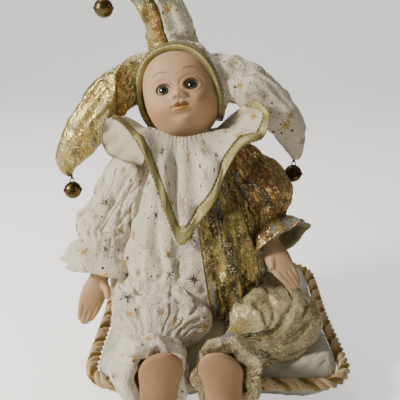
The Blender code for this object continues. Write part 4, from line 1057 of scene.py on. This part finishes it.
def paintMasks(points):  # how much of each painted colour, at every point of the head
    side, z = np.abs(points[..., 0]) / mm, points[..., 2] / mm
    front = ease(0.0, 2.0, -points[..., 1] / mm - 10)
    wide = makeup["mouthWide"]
    inside = np.clip(1 - (side / wide) ** 2, 0, 1)
    mouth = makeup["mouthHeight"] + 0.012 * side**2
    top = mouth + makeup["upperLip"] * inside**0.8 * (1 - makeup["bow"] * np.exp(-(side**2)))
    bottom = mouth - makeup["lowerLip"] * inside**0.6
    upperLip = ease(0.0, 0.4, top - z) * ease(-0.15, 0.15, z - mouth) * (side < wide)
    lowerLip = ease(0.0, 0.6, z - bottom) * ease(-0.15, 0.15, mouth - z) * (side < wide)
    mouthLine = hump(z, mouth, 0.28) * ease(wide, wide - 1.2, side)
    browX = side - makeup["browSide"]
    browLine = makeup["browHeight"] - 0.075 * browX**2
    brow = hump(z, browLine, 0.42) * ease(-5.2, -3.8, browX) * ease(5.8, 3.5, browX)
    fromEye, overEye = side - eye["side"] / mm, z - eye["height"] / mm
    opening = eyeOpening(fromEye, overEye)
    over = ease(-0.6, 1.0, overEye)
    liner = hump(opening, -0.15, 0.42) * (0.35 + 0.65 * over)
    stroke = np.clip(np.cos(np.arctan2(fromEye, overEye) * makeup["lashes"]), 0, 1) ** 3
    lashes = stroke * ease(-2.6, -0.6, opening) * ease(0.2, -0.1, opening) * (0.3 + 0.7 * over)
    blush = hump(side, 15.5, 7.5) * hump(z, -16.0, 6.5)
    # painted shade over the eye hollows
    shade = hump(side, 10.5, 7.5) * hump(z, 0.5, 6.0)
    masks = {"upperLip": upperLip, "lowerLip": lowerLip, "mouthLine": mouthLine, "brow": brow,
             "liner": liner, "lashes": lashes, "blush": blush, "paintedSocketShade": shade}
    return {name: value * front for name, value in masks.items()}


def skinLook(name, light, dark, paints=None):
    look, tree, inputs = newLook(name, Subsurface_Weight=0.06, Subsurface_Scale=0.003,
                                 Specular_IOR_Level=0.3)
    place = objectPlace(tree)
    cloud = noise(tree, place, 45, 3)
    colour = tint(tree, between(tree, cloud, 0, 1, 0.35, 0.7), light, dark)
    for mask, (paint, strength) in (paints or {}).items():
        colour = tint(tree, calc(tree, "MULTIPLY", painted(tree, mask), strength), colour, paint)
    tree.links.new(colour, inputs["Base Color"])
    emboss(tree, inputs, noise(tree, place, 2500, 2), 0.00004, 0.5)
    tree.links.new(between(tree, cloud, 0.55, 0.68, 0.3, 0.7), inputs["Roughness"])
    return look


def intoPlace(points, matrix=headMatrix):
    return points @ matrix[:3, :3].T + matrix[:3, 3]


def makeHead(look):
    points = headGrid()
    piece = surface("headPorcelain", intoPlace(points), look)
    for name, mask in paintMasks(points).items():
        values = np.concatenate([mask.ravel(), [0, 0]]).astype(np.float32)
        piece.data.attributes.new(name, "FLOAT", "POINT").data.foreach_set("value", values)
    top = np.array(head["centre"]) - upward * 0.45 * head["chin"]
    foot = np.array((head["centre"][0], head["centre"][1] - 3 * mm, tunic["topZ"] + 0.35 * mm))
    k = np.linspace(0, 1, 10)[:, None]
    stem = np.hstack([foot + (top - foot) * k,
                      np.repeat(head["neckRadius"] * (1.15 - 0.15 * k), 2, axis=1)])
    neck = surface("neckPorcelain", ovals(stem, sideways, 48), look)
    give(neck, "porcelain", "head")
    return give(piece, "porcelain", "head")


eyeColours = {
    "dark": (0.02, 0.032, 0.016), "light": (0.075, 0.10, 0.05), "ring": (0.012, 0.02, 0.014),
    "pupil": (0.002, 0.002, 0.002), "white": (0.50, 0.47, 0.34), "corner": (0.20, 0.15, 0.10),
}


def eyeLook():
    look, tree, inputs = newLook("glass eye", Roughness=0.06, Coat_Weight=1.0, Coat_Roughness=0.02, IOR=1.5)
    part = parted(tree, clothPlace(tree, "eye"))
    reach = reachOf(tree, part[0], part[1])
    angle = calc(tree, "ARCTAN2", part[1], part[0])
    links = {"X": calc(tree, "MULTIPLY", angle, 9.0), "Y": calc(tree, "MULTIPLY", reach, 0.8), "Z": 0.0}
    fibres = noise(tree, node(tree, "ShaderNodeCombineXYZ", links).outputs[0], 1, 3)
    iris = tint(tree, between(tree, fibres, 0, 1, 0.35, 0.65), eyeColours["dark"], eyeColours["light"])
    share = calc(tree, "DIVIDE", reach, eye["iris"])
    iris = tint(tree, between(tree, share, 0.0, 0.9, 0.72, 0.98), iris, eyeColours["ring"])
    inPupil = between(tree, reach, 1.0, 0.0, eye["pupil"] - 0.12, eye["pupil"] + 0.2)
    iris = tint(tree, inPupil, iris, eyeColours["pupil"])
    # painted shade: the eye's white darkens towards its corners, under the lids
    white = tint(tree, between(tree, reach, 0.0, 0.7, 3.4, 5.2), eyeColours["white"], eyeColours["corner"])
    colour = tint(tree, between(tree, reach, 0.0, 1.0, eye["iris"] - 0.1, eye["iris"] + 0.15), iris, white)
    tree.links.new(colour, inputs["Base Color"])
    return look


def makeEye(name, side, gaze, look, replaced):
    socket = np.array(eye["side"]), np.array(eye["height"])
    front = float(plainFace(*socket)) - float(faceRelief(*socket))
    middle = np.array((side * eye["side"], front + eye["radius"] + eye["behind"], eye["height"]))
    polar = np.linspace(0, math.pi, eye["rows"] + 2)[1:-1][:, None]
    t = np.arange(eye["columns"])[None, :] * fullTurn / eye["columns"]
    bulge = 1 + eye["bulge"] * hump(polar, 0, 0.45)
    deep = -np.cos(polar) * bulge * np.ones_like(t)
    spot = np.stack([np.sin(polar) * np.cos(t), deep, np.sin(polar) * np.sin(t)], -1) * eye["radius"]
    piece = surface(name, intoPlace(middle + spot), look)
    flat = piece.data.uv_layers.new(name="eye")  # mm from the pupil's middle
    local = np.vstack([spot.reshape(-1, 3), spot[0].mean(0), spot[-1].mean(0)])
    corner = numbers(piece.data.loops, "vertex_index")
    seen = local[corner][:, [0, 2]] / mm + np.array((gaze, 0.0))
    flat.data.foreach_set("uv", seen.astype(np.float32).ravel())
    return give(piece, "eye_glass", replaced)


faceSkin = skinLook("painted bisque porcelain", (0.48, 0.315, 0.185), (0.42, 0.265, 0.15), makeup["paints"])
makeHead(faceSkin)
glassEye = eyeLook()
makeEye("eyeRight", -1, 0.0, glassEye, "eye_right")
makeEye("eyeLeft", 1, -0.25, glassEye, "eye_left")
print("head: face and eyes ready")

# Hands and feet

plainSkin = skinLook("bisque porcelain", (0.50, 0.325, 0.195), (0.43, 0.27, 0.15))
# the feet get a darker, browner copy of the bisque: partly the feet's browner paint, partly painted shade
shadedFootSkin = skinLook("bisque porcelain feet in painted shade", (0.36, 0.215, 0.115), (0.29, 0.165, 0.08))
hands = {
    "handRight": {"sleeve": "sleeveWhite", "palm": (0.2, -1.0, 0.2),
                  "places": ((-85, -13, 67), (-90, -19, 53), (-94, -23, 42), (-97, -25, 33)),
                  "thumb": ((-84, -15, 62), (-80, -21, 58), (-78.5, -26, 54))},
    "handLeft": {"sleeve": "sleeveGold", "palm": (-0.2, -0.5, 1.0),
                 "places": ((38, -19, 94), (42, -26, 86), (48, -32, 77), (55, -37, 69)),
                 "thumb": ((39, -23, 89), (38, -29, 85), (38, -33, 80.5))},
}
handSizes = {  # in mm; a finger has its reach along the hand and its radius
    "wrist": 6.4, "width": 18.5, "spacing": 4.0, "thickness": 9, "thumb": 2.9, "voxel": 0.55 * mm,
    "smoothing": 4, "widths": (0.72, 1.0, 0.86, 0.36), "depths": (1.0, 0.9, 0.66, 0.4),
    "thumbShares": (1.25, 1.0, 0.7), "fingers": ((0.80, 2.1), (0.97, 2.3), (1.0, 2.3), (0.90, 2.2)),
    "fingerLength": 14,
}


def joined(name, parts, look, voxel, smoothing):  # several closed solids run together into one skin
    shape = bmesh.new()
    for part in parts:
        shape.from_mesh(part.data)
        bpy.data.objects.remove(part)
    mesh = bpy.data.meshes.new(name)
    shape.to_mesh(mesh)
    shape.free()
    piece = newObject(name, mesh)
    change = piece.modifiers.new("one skin", "REMESH")
    change.mode, change.voxel_size = "VOXEL", voxel
    soft = piece.modifiers.new("soft", "SMOOTH")
    soft.factor, soft.iterations = 0.5, smoothing
    settle(piece)
    piece.data.materials.clear()
    piece.data.materials.append(look)
    return piece


def makeHand(name, replaced):
    hand = hands[name]
    palm = np.array(hand["palm"])
    start, way = limbEnd(hand["sleeve"])
    wrist = [[*(start / mm + way * k), handSizes["wrist"], handSizes["wrist"]] for k in (-9.5, -5, 0, 3)]
    rows = [[*place, w * handSizes["width"] / 2, d * handSizes["thickness"] / 2]
            for place, w, d in zip(hand["places"], handSizes["widths"], handSizes["depths"])]
    arm = curveThrough(wrist + rows[:3], 40) * mm
    parts = [surface("arm", ovals(arm, palm, 48), plainSkin)]
    places = np.array(hand["places"], float)
    along = unit(places[3] - places[1])
    side = unit(np.cross(along, palm))
    lift = unit(np.cross(side, along))
    for k, (reach, thick) in enumerate(handSizes["fingers"]):
        offset = side * (k - 1.5) * handSizes["spacing"]
        tip = places[3] + offset * 0.62 - along * (1 - reach) * handSizes["fingerLength"] + lift * 0.2
        base = places[1] + (places[2] - places[1]) * 0.3 + offset
        knuckle = places[2] + offset * 0.92 + lift * 0.8
        finger = [[*base, thick, thick], [*knuckle, thick, thick], [*tip, thick * 0.8, thick * 0.75],
                  [*(tip + along * 1.2), thick * 0.35, thick * 0.35]]
        parts.append(surface("finger", ovals(curveThrough(finger, 24) * mm, palm, 20), plainSkin))
    radii = [handSizes["thumb"] * share for share in handSizes["thumbShares"]]
    thumb = [[*place, radius, radius] for place, radius in zip(hand["thumb"], radii)]
    last, before = np.array(hand["thumb"][-1]), np.array(hand["thumb"][-2])
    thumb.append([*(last + (last - before) * 0.12), 0.8, 0.8])
    parts.append(surface("thumb", ovals(curveThrough(thumb, 24) * mm, palm, 20), plainSkin))
    return give(joined(name, parts, plainSkin, handSizes["voxel"], handSizes["smoothing"]), "porcelain",
                replaced)


feet = {
    "voxel": 0.9 * mm, "smoothing": 6, "shinRadius": 8 * mm, "length": 47 * mm, "width": 27 * mm,
    "thickness": 13 * mm, "frontY": -109 * mm, "heelZ": 16 * mm, "turnIn": 5.5 * mm,
    "levels": ((0, 0.45, 0.5), (0.08, 0.72, 0.82), (0.24, 0.84, 1), (0.45, 0.88, 0.92), (0.66, 1, 0.74),
               (0.82, 0.92, 0.56), (0.93, 0.66, 0.42), (1, 0.3, 0.24)),
}


def makeFoot(name, leg, x, inward, replaced):
    levels = curveThrough(feet["levels"], 60)
    rings = []
    for share, wide, deep in levels:
        halfWidth, halfDepth = wide * feet["width"] / 2, deep * feet["thickness"] / 2
        aside = x + inward * feet["turnIn"] * share**2
        centre = np.array((aside, feet["frontY"] + halfDepth, feet["heelZ"] + feet["length"] * share))
        rings.append(across(centre, upward, sideways, halfDepth, halfWidth, 64))
    sole = surface("sole", np.array(rings), shadedFootSkin)
    start, way = limbEnd(leg)
    instep = np.array((x, feet["frontY"] + feet["thickness"] / 2, feet["heelZ"] + 0.42 * feet["length"]))
    places = (start - way * 9.5 * mm, start, start + way * 4 * mm, instep)
    shin = np.array([[*place, feet["shinRadius"], feet["shinRadius"]] for place in places])
    ankle = surface("ankle", ovals(curveThrough(shin, 20), upward, 32, (0, -1, 0)), shadedFootSkin)
    return give(joined(name, [sole, ankle], shadedFootSkin, feet["voxel"], feet["smoothing"]), "porcelain",
                replaced)


makeHand("handRight", "hand_right")
makeHand("handLeft", "hand_left")
makeFoot("footRight", "legWhite", -38 * mm, 1, "foot_right")
makeFoot("footLeft", "legGold", 3 * mm, -1, "foot_left")
print("porcelain: hands and feet ready")

# Hat

hat = {
    "voxel": 2.0 * mm, "smoothing": 6, "turn": 11, "spareCloth": 0.10, "most": 2.5 * mm,
    "crumple": 1.7 * mm, "fine": 0.35 * mm, "proud": 0.2 * mm,
}
hatMatrix = placed(hat["turn"])


def clothFromSides(mesh):  # a flat cloth coordinate in metres, taken from the side that each face points to
    main = (np.abs(rowsOf(mesh.polygons, "normal")) * (0.8, 1.3, 0.8)).argmax(1)
    main = np.repeat(main, numbers(mesh.polygons, "loop_total"))[:, None]
    place = spots(mesh)[numbers(mesh.loops, "vertex_index")]
    flat = np.where(main == 1, place[:, [0, 2]], place[:, [0, 1]])
    flat = np.where(main == 0, place[:, [1, 2]], flat)
    mesh.uv_layers.new(name="cloth").data.foreach_set("uv", flat.astype(np.float32).ravel())


def makeHatHalf(name, source, other, look, slot, seed):
    shape = bmesh.new()
    shape.from_mesh(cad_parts[source].data)
    bmesh.ops.remove_doubles(shape, verts=shape.verts, dist=0.00001)
    mesh = bpy.data.meshes.new("cut")
    shape.to_mesh(mesh)
    shape.free()
    piece = joined(name, [newObject("cut", mesh)], look, hat["voxel"], hat["smoothing"])
    gap = gapTo(spots(piece.data), other, "hat_trim", "head")
    stuffed(piece, ease(3.5 * mm, 1.2 * mm, gap), hat["spareCloth"], hat["most"])
    points = spots(piece.data)
    rumple = hat["crumple"] * (creased(points, 0.012, seed) - 0.45)
    rumple = rumple + hat["fine"] * cloudy(points, 0.004, seed + 3)
    pushOut(piece, hat["proud"] + rumple * ease(0.5 * mm, 4 * mm, gap))
    rounded(piece)
    clothFromSides(piece.data)
    return give(piece, slot, source, fill=0.8)


makeHatHalf("hatGold", "hat_gold", "hat_white", brocadeLook("hat"), "gold_brocade", 11)
makeHatHalf("hatWhite", "hat_white", "hat_gold", starVelour, "white_star_cloth", 12)

rim = {
    "lining": 1.4 * mm, "wall": 2.6 * mm, "poleTilt": 25, "mean": 97.7, "frontRise": 17.9,
    "sideDrop": 20.5, "napeRise": 4.9, "width": 5.8 * mm, "proud": 0.8 * mm, "edge": 1.1 * mm,
    "under": 0.9 * mm, "stitchLines": (0.14, 0.86), "columns": 360,
}
ribbonLook = plainClothLook("gold ribbon", (0.22, 0.185, 0.06), (0.40, 0.35, 0.15), 0.32, 0.0008,
                            metallic=0.45, sheen=0.2)
stitchLook = plainClothLook("stitching thread", (0.045, 0.03, 0.015), (0.08, 0.05, 0.02), 0.6, 0.0004)
stitch = {"spacing": 2.9 * mm, "length": 2.1 * mm, "radius": 0.36 * mm, "sides": 6, "rings": 4}


def stitchTree():  # short dashes of thread, one after another along a line
    tree, given, out = newGroup(
        "running stitch",
        [("Line", shapeKind, None), ("Spacing", floatKind, 0.0023), ("Length", floatKind, 0.0015),
         ("Radius", floatKind, 0.0002), ("Sides", wholeKind, 6), ("Rings", wholeKind, 4),
         ("Look", finishKind, None)],
        [("Stitches", shapeKind)], "GeometryNodeTree",
    )
    stepped = shapeNode(tree, "ResampleCurve", {"Curve": given["Line"], "Length": given["Spacing"]},
                        mode="LENGTH")
    points = node(tree, "GeometryNodeCurveToPoints", {"Curve": stepped}, mode="EVALUATED").outputs
    ball = shapeNode(tree, "MeshUVSphere",
                     {"Segments": given["Sides"], "Rings": given["Rings"], "Radius": 1.0})
    half = calc(tree, "MULTIPLY", given["Length"], 0.5)
    size = node(tree, "ShaderNodeCombineXYZ",
                {"X": given["Radius"], "Y": given["Radius"], "Z": half}).outputs[0]
    links = {"Points": points["Points"], "Instance": ball, "Rotation": points["Rotation"], "Scale": size}
    return finishTree(tree, shapeNode(tree, "InstanceOnPoints", links), given, out)


runningStitch = stitchTree()


def makeStitches(name, points):
    line = lineObject(name, points, closed=True)
    piece = runTree(line, runningStitch, stitchLook, Spacing=stitch["spacing"], Length=stitch["length"],
                    Radius=stitch["radius"], Sides=stitch["sides"], Rings=stitch["rings"])
    return give(piece, "gold_ribbon")


def capPoint(t, polar, grow):
    tilt = math.radians(rim["poleTilt"])
    pole = np.array((0, math.sin(tilt), math.cos(tilt)))
    front = np.array((0, -math.cos(tilt), math.sin(tilt)))
    level = np.outer(np.cos(t), front) + np.outer(np.sin(t), sideways)
    direction = np.cos(polar)[:, None] * pole + np.sin(polar)[:, None] * level
    return direction * (skullRadius(direction)[:, None] + grow)


def rimPolar(t):
    degrees = rim["mean"] - rim["frontRise"] * np.cos(t) - rim["sideDrop"] * np.cos(2 * t)
    return np.radians(degrees + rim["napeRise"] * np.cos(3 * t))


def makeHatTrim():
    t = fullTurn * np.arange(rim["columns"]) / rim["columns"]
    edge = rimPolar(t)
    width = rim["width"] / head["halfDepth"]
    gap = 0.35 * mm / head["halfDepth"]
    outer, inner = rim["lining"] + rim["wall"] + rim["proud"], rim["lining"]

    def ring(k, grow):  # a share of the way across the ribbon
        return intoPlace(capPoint(t, edge - width + gap + (width - gap) * k, grow), hatMatrix)

    rows = [ring(k, outer - rim["edge"] * abs(2 * k - 1) ** 4) for k in np.linspace(0, 1, 12)]
    rows += [ring(k, inner - rim["under"]) for k in np.linspace(1, 0, 8)]
    for row, k in enumerate(rim["stitchLines"]):
        makeStitches(f"hatStitches{row}", ring(k, outer - 0.25 * mm))
    piece = surface("hatTrim", np.array(rows), ribbonLook, looped=True)
    return give(piece, "gold_ribbon", "hat_trim")


makeHatTrim()
print("hat: halves and ribbon ready")

# Bells

bells = {
    "diameter": 12.7 * mm, "wall": 0.7 * mm, "slot": 1.4 * mm, "rim": 0.6 * mm, "hanger": 5 * mm,
    "thread": 0.55 * mm, "hole": 1.5 * mm, "loop": (1.5 * mm, 1.7 * mm), "wire": 0.35 * mm,
    "windings": 14,
}
brassColours = (0.16, 0.115, 0.045), (0.035, 0.026, 0.012)


def brassLook():
    look, tree, inputs = newLook("aged brass", Metallic=0.95)
    stain = noise(tree, objectPlace(tree), 160, 5)
    colour = tint(tree, between(tree, stain, 0, 1, 0.38, 0.66), *brassColours)
    tree.links.new(colour, inputs["Base Color"])
    tree.links.new(between(tree, stain, 0.24, 0.55, 0.35, 0.7), inputs["Roughness"])
    emboss(tree, inputs, stain, 0.0002, 0.3)
    return look


def turned(name, centre, profile, look, columns=48):
    t = np.arange(columns) * fullTurn / columns
    rows = [centre + np.column_stack([r * np.cos(t), r * np.sin(t), np.full(columns, z)])
            for r, z in profile]
    return surface(name, np.array(rows), look)


def arc(radius, start, end, count):  # from angle to angle down a ball's side
    return [(radius * math.sin(p), radius * math.cos(p)) for p in np.linspace(start, end, count)]


def bellCutter(centre, radius):  # the slot below and the hole at each of its ends
    slot = bmesh.new()
    bmesh.ops.create_cube(slot, size=1.0)
    for v in slot.verts:
        v.co = (v.co.x * bells["diameter"] * 1.02, v.co.y * bells["slot"], v.co.z * radius)
        v.co += Vector(centre - upward * radius * 0.85)
    for side in (-1, 1):
        hole = {"radius1": bells["hole"], "radius2": bells["hole"], "depth": 4 * mm, "cap_ends": True}
        place = Vector(centre) + Vector((side * radius * 0.88, 0, -0.36 * radius))
        for v in bmesh.ops.create_cone(slot, segments=16, **hole)["verts"]:
            v.co = Vector((v.co.z, v.co.y, v.co.x)) + place
    bmesh.ops.recalc_face_normals(slot, faces=slot.faces)
    mesh = bpy.data.meshes.new("slot")
    slot.to_mesh(mesh)
    slot.free()
    return newObject("slot", mesh)


def makeBell(name, replaced, look, threadLook):
    low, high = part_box(replaced)
    top = np.array(((low.x + high.x) / 2, (low.y + high.y) / 2, high.z))
    radius = bells["diameter"] / 2
    centre = top - upward * (bells["hanger"] + radius)
    rimShape = [(radius + bells["rim"] * k, z * mm)
                for k, z in ((0.7, -0.75), (1.0, -0.45), (1.0, 0.45), (0.7, 0.75))]
    body = turned(name, centre, arc(radius, 3.08, 1.70, 16) + rimShape + arc(radius, 1.44, 0.12, 16), look)
    hollow = turned("hollow", centre, arc(radius - bells["wall"], 3.0, 0.15, 20), look)
    cutter = bellCutter(centre, radius)
    for other in (hollow, cutter):
        change = body.modifiers.new("cut", "BOOLEAN")
        change.operation, change.object, change.solver, change.use_self = "DIFFERENCE", other, "EXACT", True
    settle(body)
    bpy.data.objects.remove(hollow)
    bpy.data.objects.remove(cutter)
    body.data.set_sharp_from_angle(angle=math.radians(40))
    give(body, "aged_brass", replaced)
    t = np.linspace(0, fullTurn, 25)
    wide, tall = bells["loop"]
    loop = np.column_stack([wide * np.cos(t), 0 * t, tall * np.sin(t)])
    loop = loop + centre + upward * (radius + 1.3 * mm)
    rings = ovals(np.column_stack([loop, np.full((25, 2), bells["wire"])]), -forwards, 10)
    give(surface(f"{name}Loop", rings[:-1], look, looped=True), "aged_brass")
    s = np.linspace(0, 1, 40)
    thread = centre + upward * (radius + 2.4 * mm) + np.outer(s, upward * (bells["hanger"] - 2.2 * mm))
    for k in range(2):
        angle = s * bells["windings"] + k * math.pi
        wound = thread + 0.4 * mm * np.column_stack([np.cos(angle), np.sin(angle), 0 * s])
        line = np.column_stack([wound, np.full((40, 2), bells["thread"])])
        give(surface(f"{name}Thread{k}", ovals(line, -forwards, 8), threadLook), "aged_brass")


agedBrass = brassLook()
darkThread = plainClothLook("dark thread", (0.06, 0.045, 0.025), (0.10, 0.07, 0.03), 0.6, 0.0005)
for side in ("Right", "Left", "Top"):
    makeBell(f"bell{side}", f"bell_{side.lower()}", agedBrass, darkThread)
print("bells: ready")

# Collar

collar = {
    "columns": 420, "rows": 36, "swell": 4 * mm, "cloth": 1.2 * mm, "trimWidth": 7.6 * mm,
    "trim": 0.9 * mm, "heart": (-22 * mm, 6 * mm, 118 * mm), "gap": 0.35 * mm, "waves": 11,
    "waveHeight": 2.4 * mm, "gathers": 46, "gatherHeight": 0.25 * mm, "rumple": 3.2 * mm,
    "trimEdge": 0.4 * mm, "ribbonRows": 14,
    "edge": ((-25, -42, 103), (-12, -41, 118.5), (-2, -39, 133.5), (6, -34, 152), (16, -28, 166),
             (29, -24, 171), (33, -17, 183), (25, -10, 194), (23, 6, 176), (12, 30, 164), (-20, 48, 148),
             (-52, 36, 156), (-70, 20, 159), (-75, 2, 167), (-69.8, -14, 183), (-62, -20, 178.4),
             (-54.5, -26, 170.5), (-48, -30, 160.5), (-41.5, -36, 144), (-34, -40, 123.5)),
    "neck": ((-26, -17, 169.5), (-16, -15, 170), (-7, -9, 171), (-3, 0, 170.5), (-3, 9, 167),
             (-9, 19, 162), (-24, 23, 160), (-40, 19, 162), (-47, 9, 167), (-48, 0, 171), (-45, -8, 174),
             (-36, -14, 172)),
    "flapInner": ((-70.5, -11, 182), (-62, -17, 177.4), (-54.5, -23, 169.5), (-48, -27, 159)),
    "flapOuter": ((-76.3, -10, 180), (-78.6, -12, 172), (-77, -15, 163.8), (-72, -19, 158.6),
                  (-63, -23, 156), (-50, -27, 154)),
    "flat": (0.14, 0.13), "area": 0.0064,
}


def collarRows(shares, lift):
    edge = curveThrough(np.array(collar["edge"]) * mm, collar["columns"], closed=True)
    neck = curveThrough(np.array(collar["neck"]) * mm, collar["columns"], closed=True)
    span = np.linalg.norm(edge - neck, axis=1, keepdims=True)
    slant = np.linalg.norm(np.cross(unit(np.roll(edge, -3, 0) - np.roll(edge, 3, 0)), unit(edge - neck)),
                           axis=1)
    least = np.min([np.roll(slant, k) for k in range(-7, 8)], axis=0)
    width = span * np.mean([np.roll(least, k) for k in range(-9, 10)], axis=0)[:, None]
    turn = np.arange(collar["columns"])[:, None] * fullTurn / collar["columns"]
    rows = []
    for share in shares:
        at = share(width)
        spot = neck * (1 - at) + edge * at
        outward = unit(spot - np.array(collar["heart"]))
        middle = np.sin(math.pi * at)
        wave = np.sin(collar["waves"] * turn + 1.5 * np.sin(3 * turn)) * (0.35 + middle) / 1.35
        gathers = np.cos(collar["gathers"] * turn + 2 * np.sin(5 * turn)) * np.exp(-at / 0.16)
        rise = collar["swell"] * middle + collar["waveHeight"] * wave * at**0.5
        rise = rise + collar["gatherHeight"] * gathers
        rise = rise + collar["rumple"] * cloudy(spot, 0.017, 21)[:, None] * middle**0.5
        rows.append(spot + outward * (rise + lift))
    return np.array(rows)


def collarCloth(k):  # a share of the way from the neck to the ribbon
    return lambda width: (1 - collar["trimWidth"] / width) * k


def collarRibbon(k):  # a share of the way across the ribbon
    return lambda width: 1 - (collar["trimWidth"] - collar["gap"]) * (1 - k) / width


def makeCollar(look, lining):
    shares = [collarCloth(k) for k in np.linspace(0, 1, collar["rows"])]
    outer, inner = collarRows(shares, collar["cloth"]), collarRows(shares, 0.0)
    piece = surface("collarCloth", np.concatenate([outer, inner[::-1]]), look, looped=True, lining=lining,
                    liningFrom=collar["rows"])
    step = np.cross(np.diff(outer, axis=0)[:, :-1], np.diff(outer, axis=1)[:-1])
    print("collar: cloth covers", round(float(np.linalg.norm(step, axis=2).sum()), 5), "square metres")
    return give(piece, "white_star_cloth", "collar")


def makeCollarTrim(look):
    shares = np.linspace(0, 1, collar["ribbonRows"])
    inner = collarRows([collarRibbon(k) for k in shares], 0.0)
    puff = (1 - np.abs(2 * shares - 1) ** 4)[:, None, None]
    outward = unit(inner - np.array(collar["heart"]))
    thick = collar["cloth"] + collar["trim"] - collar["trimEdge"]
    outer = inner + outward * (collar["trimEdge"] + thick * puff)
    piece = surface("collarTrim", np.concatenate([outer, inner[::-1]]), look, looped=True)
    sewn = [makeStitches(f"collarStitches{k}", outer[k] + outward[k] * 0.1 * mm)
            for k in (1, collar["ribbonRows"] - 2)]
    return [give(piece, "gold_ribbon", "collar_trim"), *sewn]


flap = {
    "columns": 70, "rows": 22, "hollow": 3.0 * mm, "ripple": 0.7 * mm, "rumple": 0.5 * mm,
    "cloth": 0.8 * mm, "piping": 0.75 * mm,
}


def makeCollarFlap(look, piping):  # where the front lobe's lining turns out past its ribbon
    inner = curveThrough(np.array(collar["flapInner"]) * mm, flap["columns"])
    outer = curveThrough(np.array(collar["flapOuter"]) * mm, flap["columns"])
    s = np.linspace(0, 1, flap["rows"])[:, None, None]
    grid = inner * (1 - s) + outer * s
    along = np.linspace(0, 1, flap["columns"])
    hollow = flap["hollow"] * np.sin(math.pi * s) * np.sin(math.pi * along)[None, :, None] ** 0.5
    ripple = flap["ripple"] * np.sin(26 * along + 2)[None, :, None] * s
    ripple = ripple + flap["rumple"] * cloudy(grid, 0.008, 31)[..., None]
    grid = grid - forwards * (hollow + ripple)
    piece = surface("collarFlap", grid, look, around=False)
    change = piece.modifiers.new("cloth", "SOLIDIFY")
    change.thickness, change.offset = flap["cloth"], 0.0
    settle(piece)
    line = np.column_stack([grid[-1], np.full((flap["columns"], 2), flap["piping"])])
    edge = surface("collarFlapEdge", ovals(line, forwards + 0.1, 12), piping)
    return [give(piece, "white_star_cloth"), give(edge, "gold_ribbon")]


creamLining = plainClothLook("cream lining", (0.58, 0.52, 0.36), (0.48, 0.42, 0.28), 0.42, 0.0004,
                             sheen=0.3)
collarPiece = makeCollar(starVelour, creamLining)
onCollar = makeCollarTrim(ribbonLook) + makeCollarFlap(creamLining, cuffLining)
print("collar: cloth and ribbon ready")
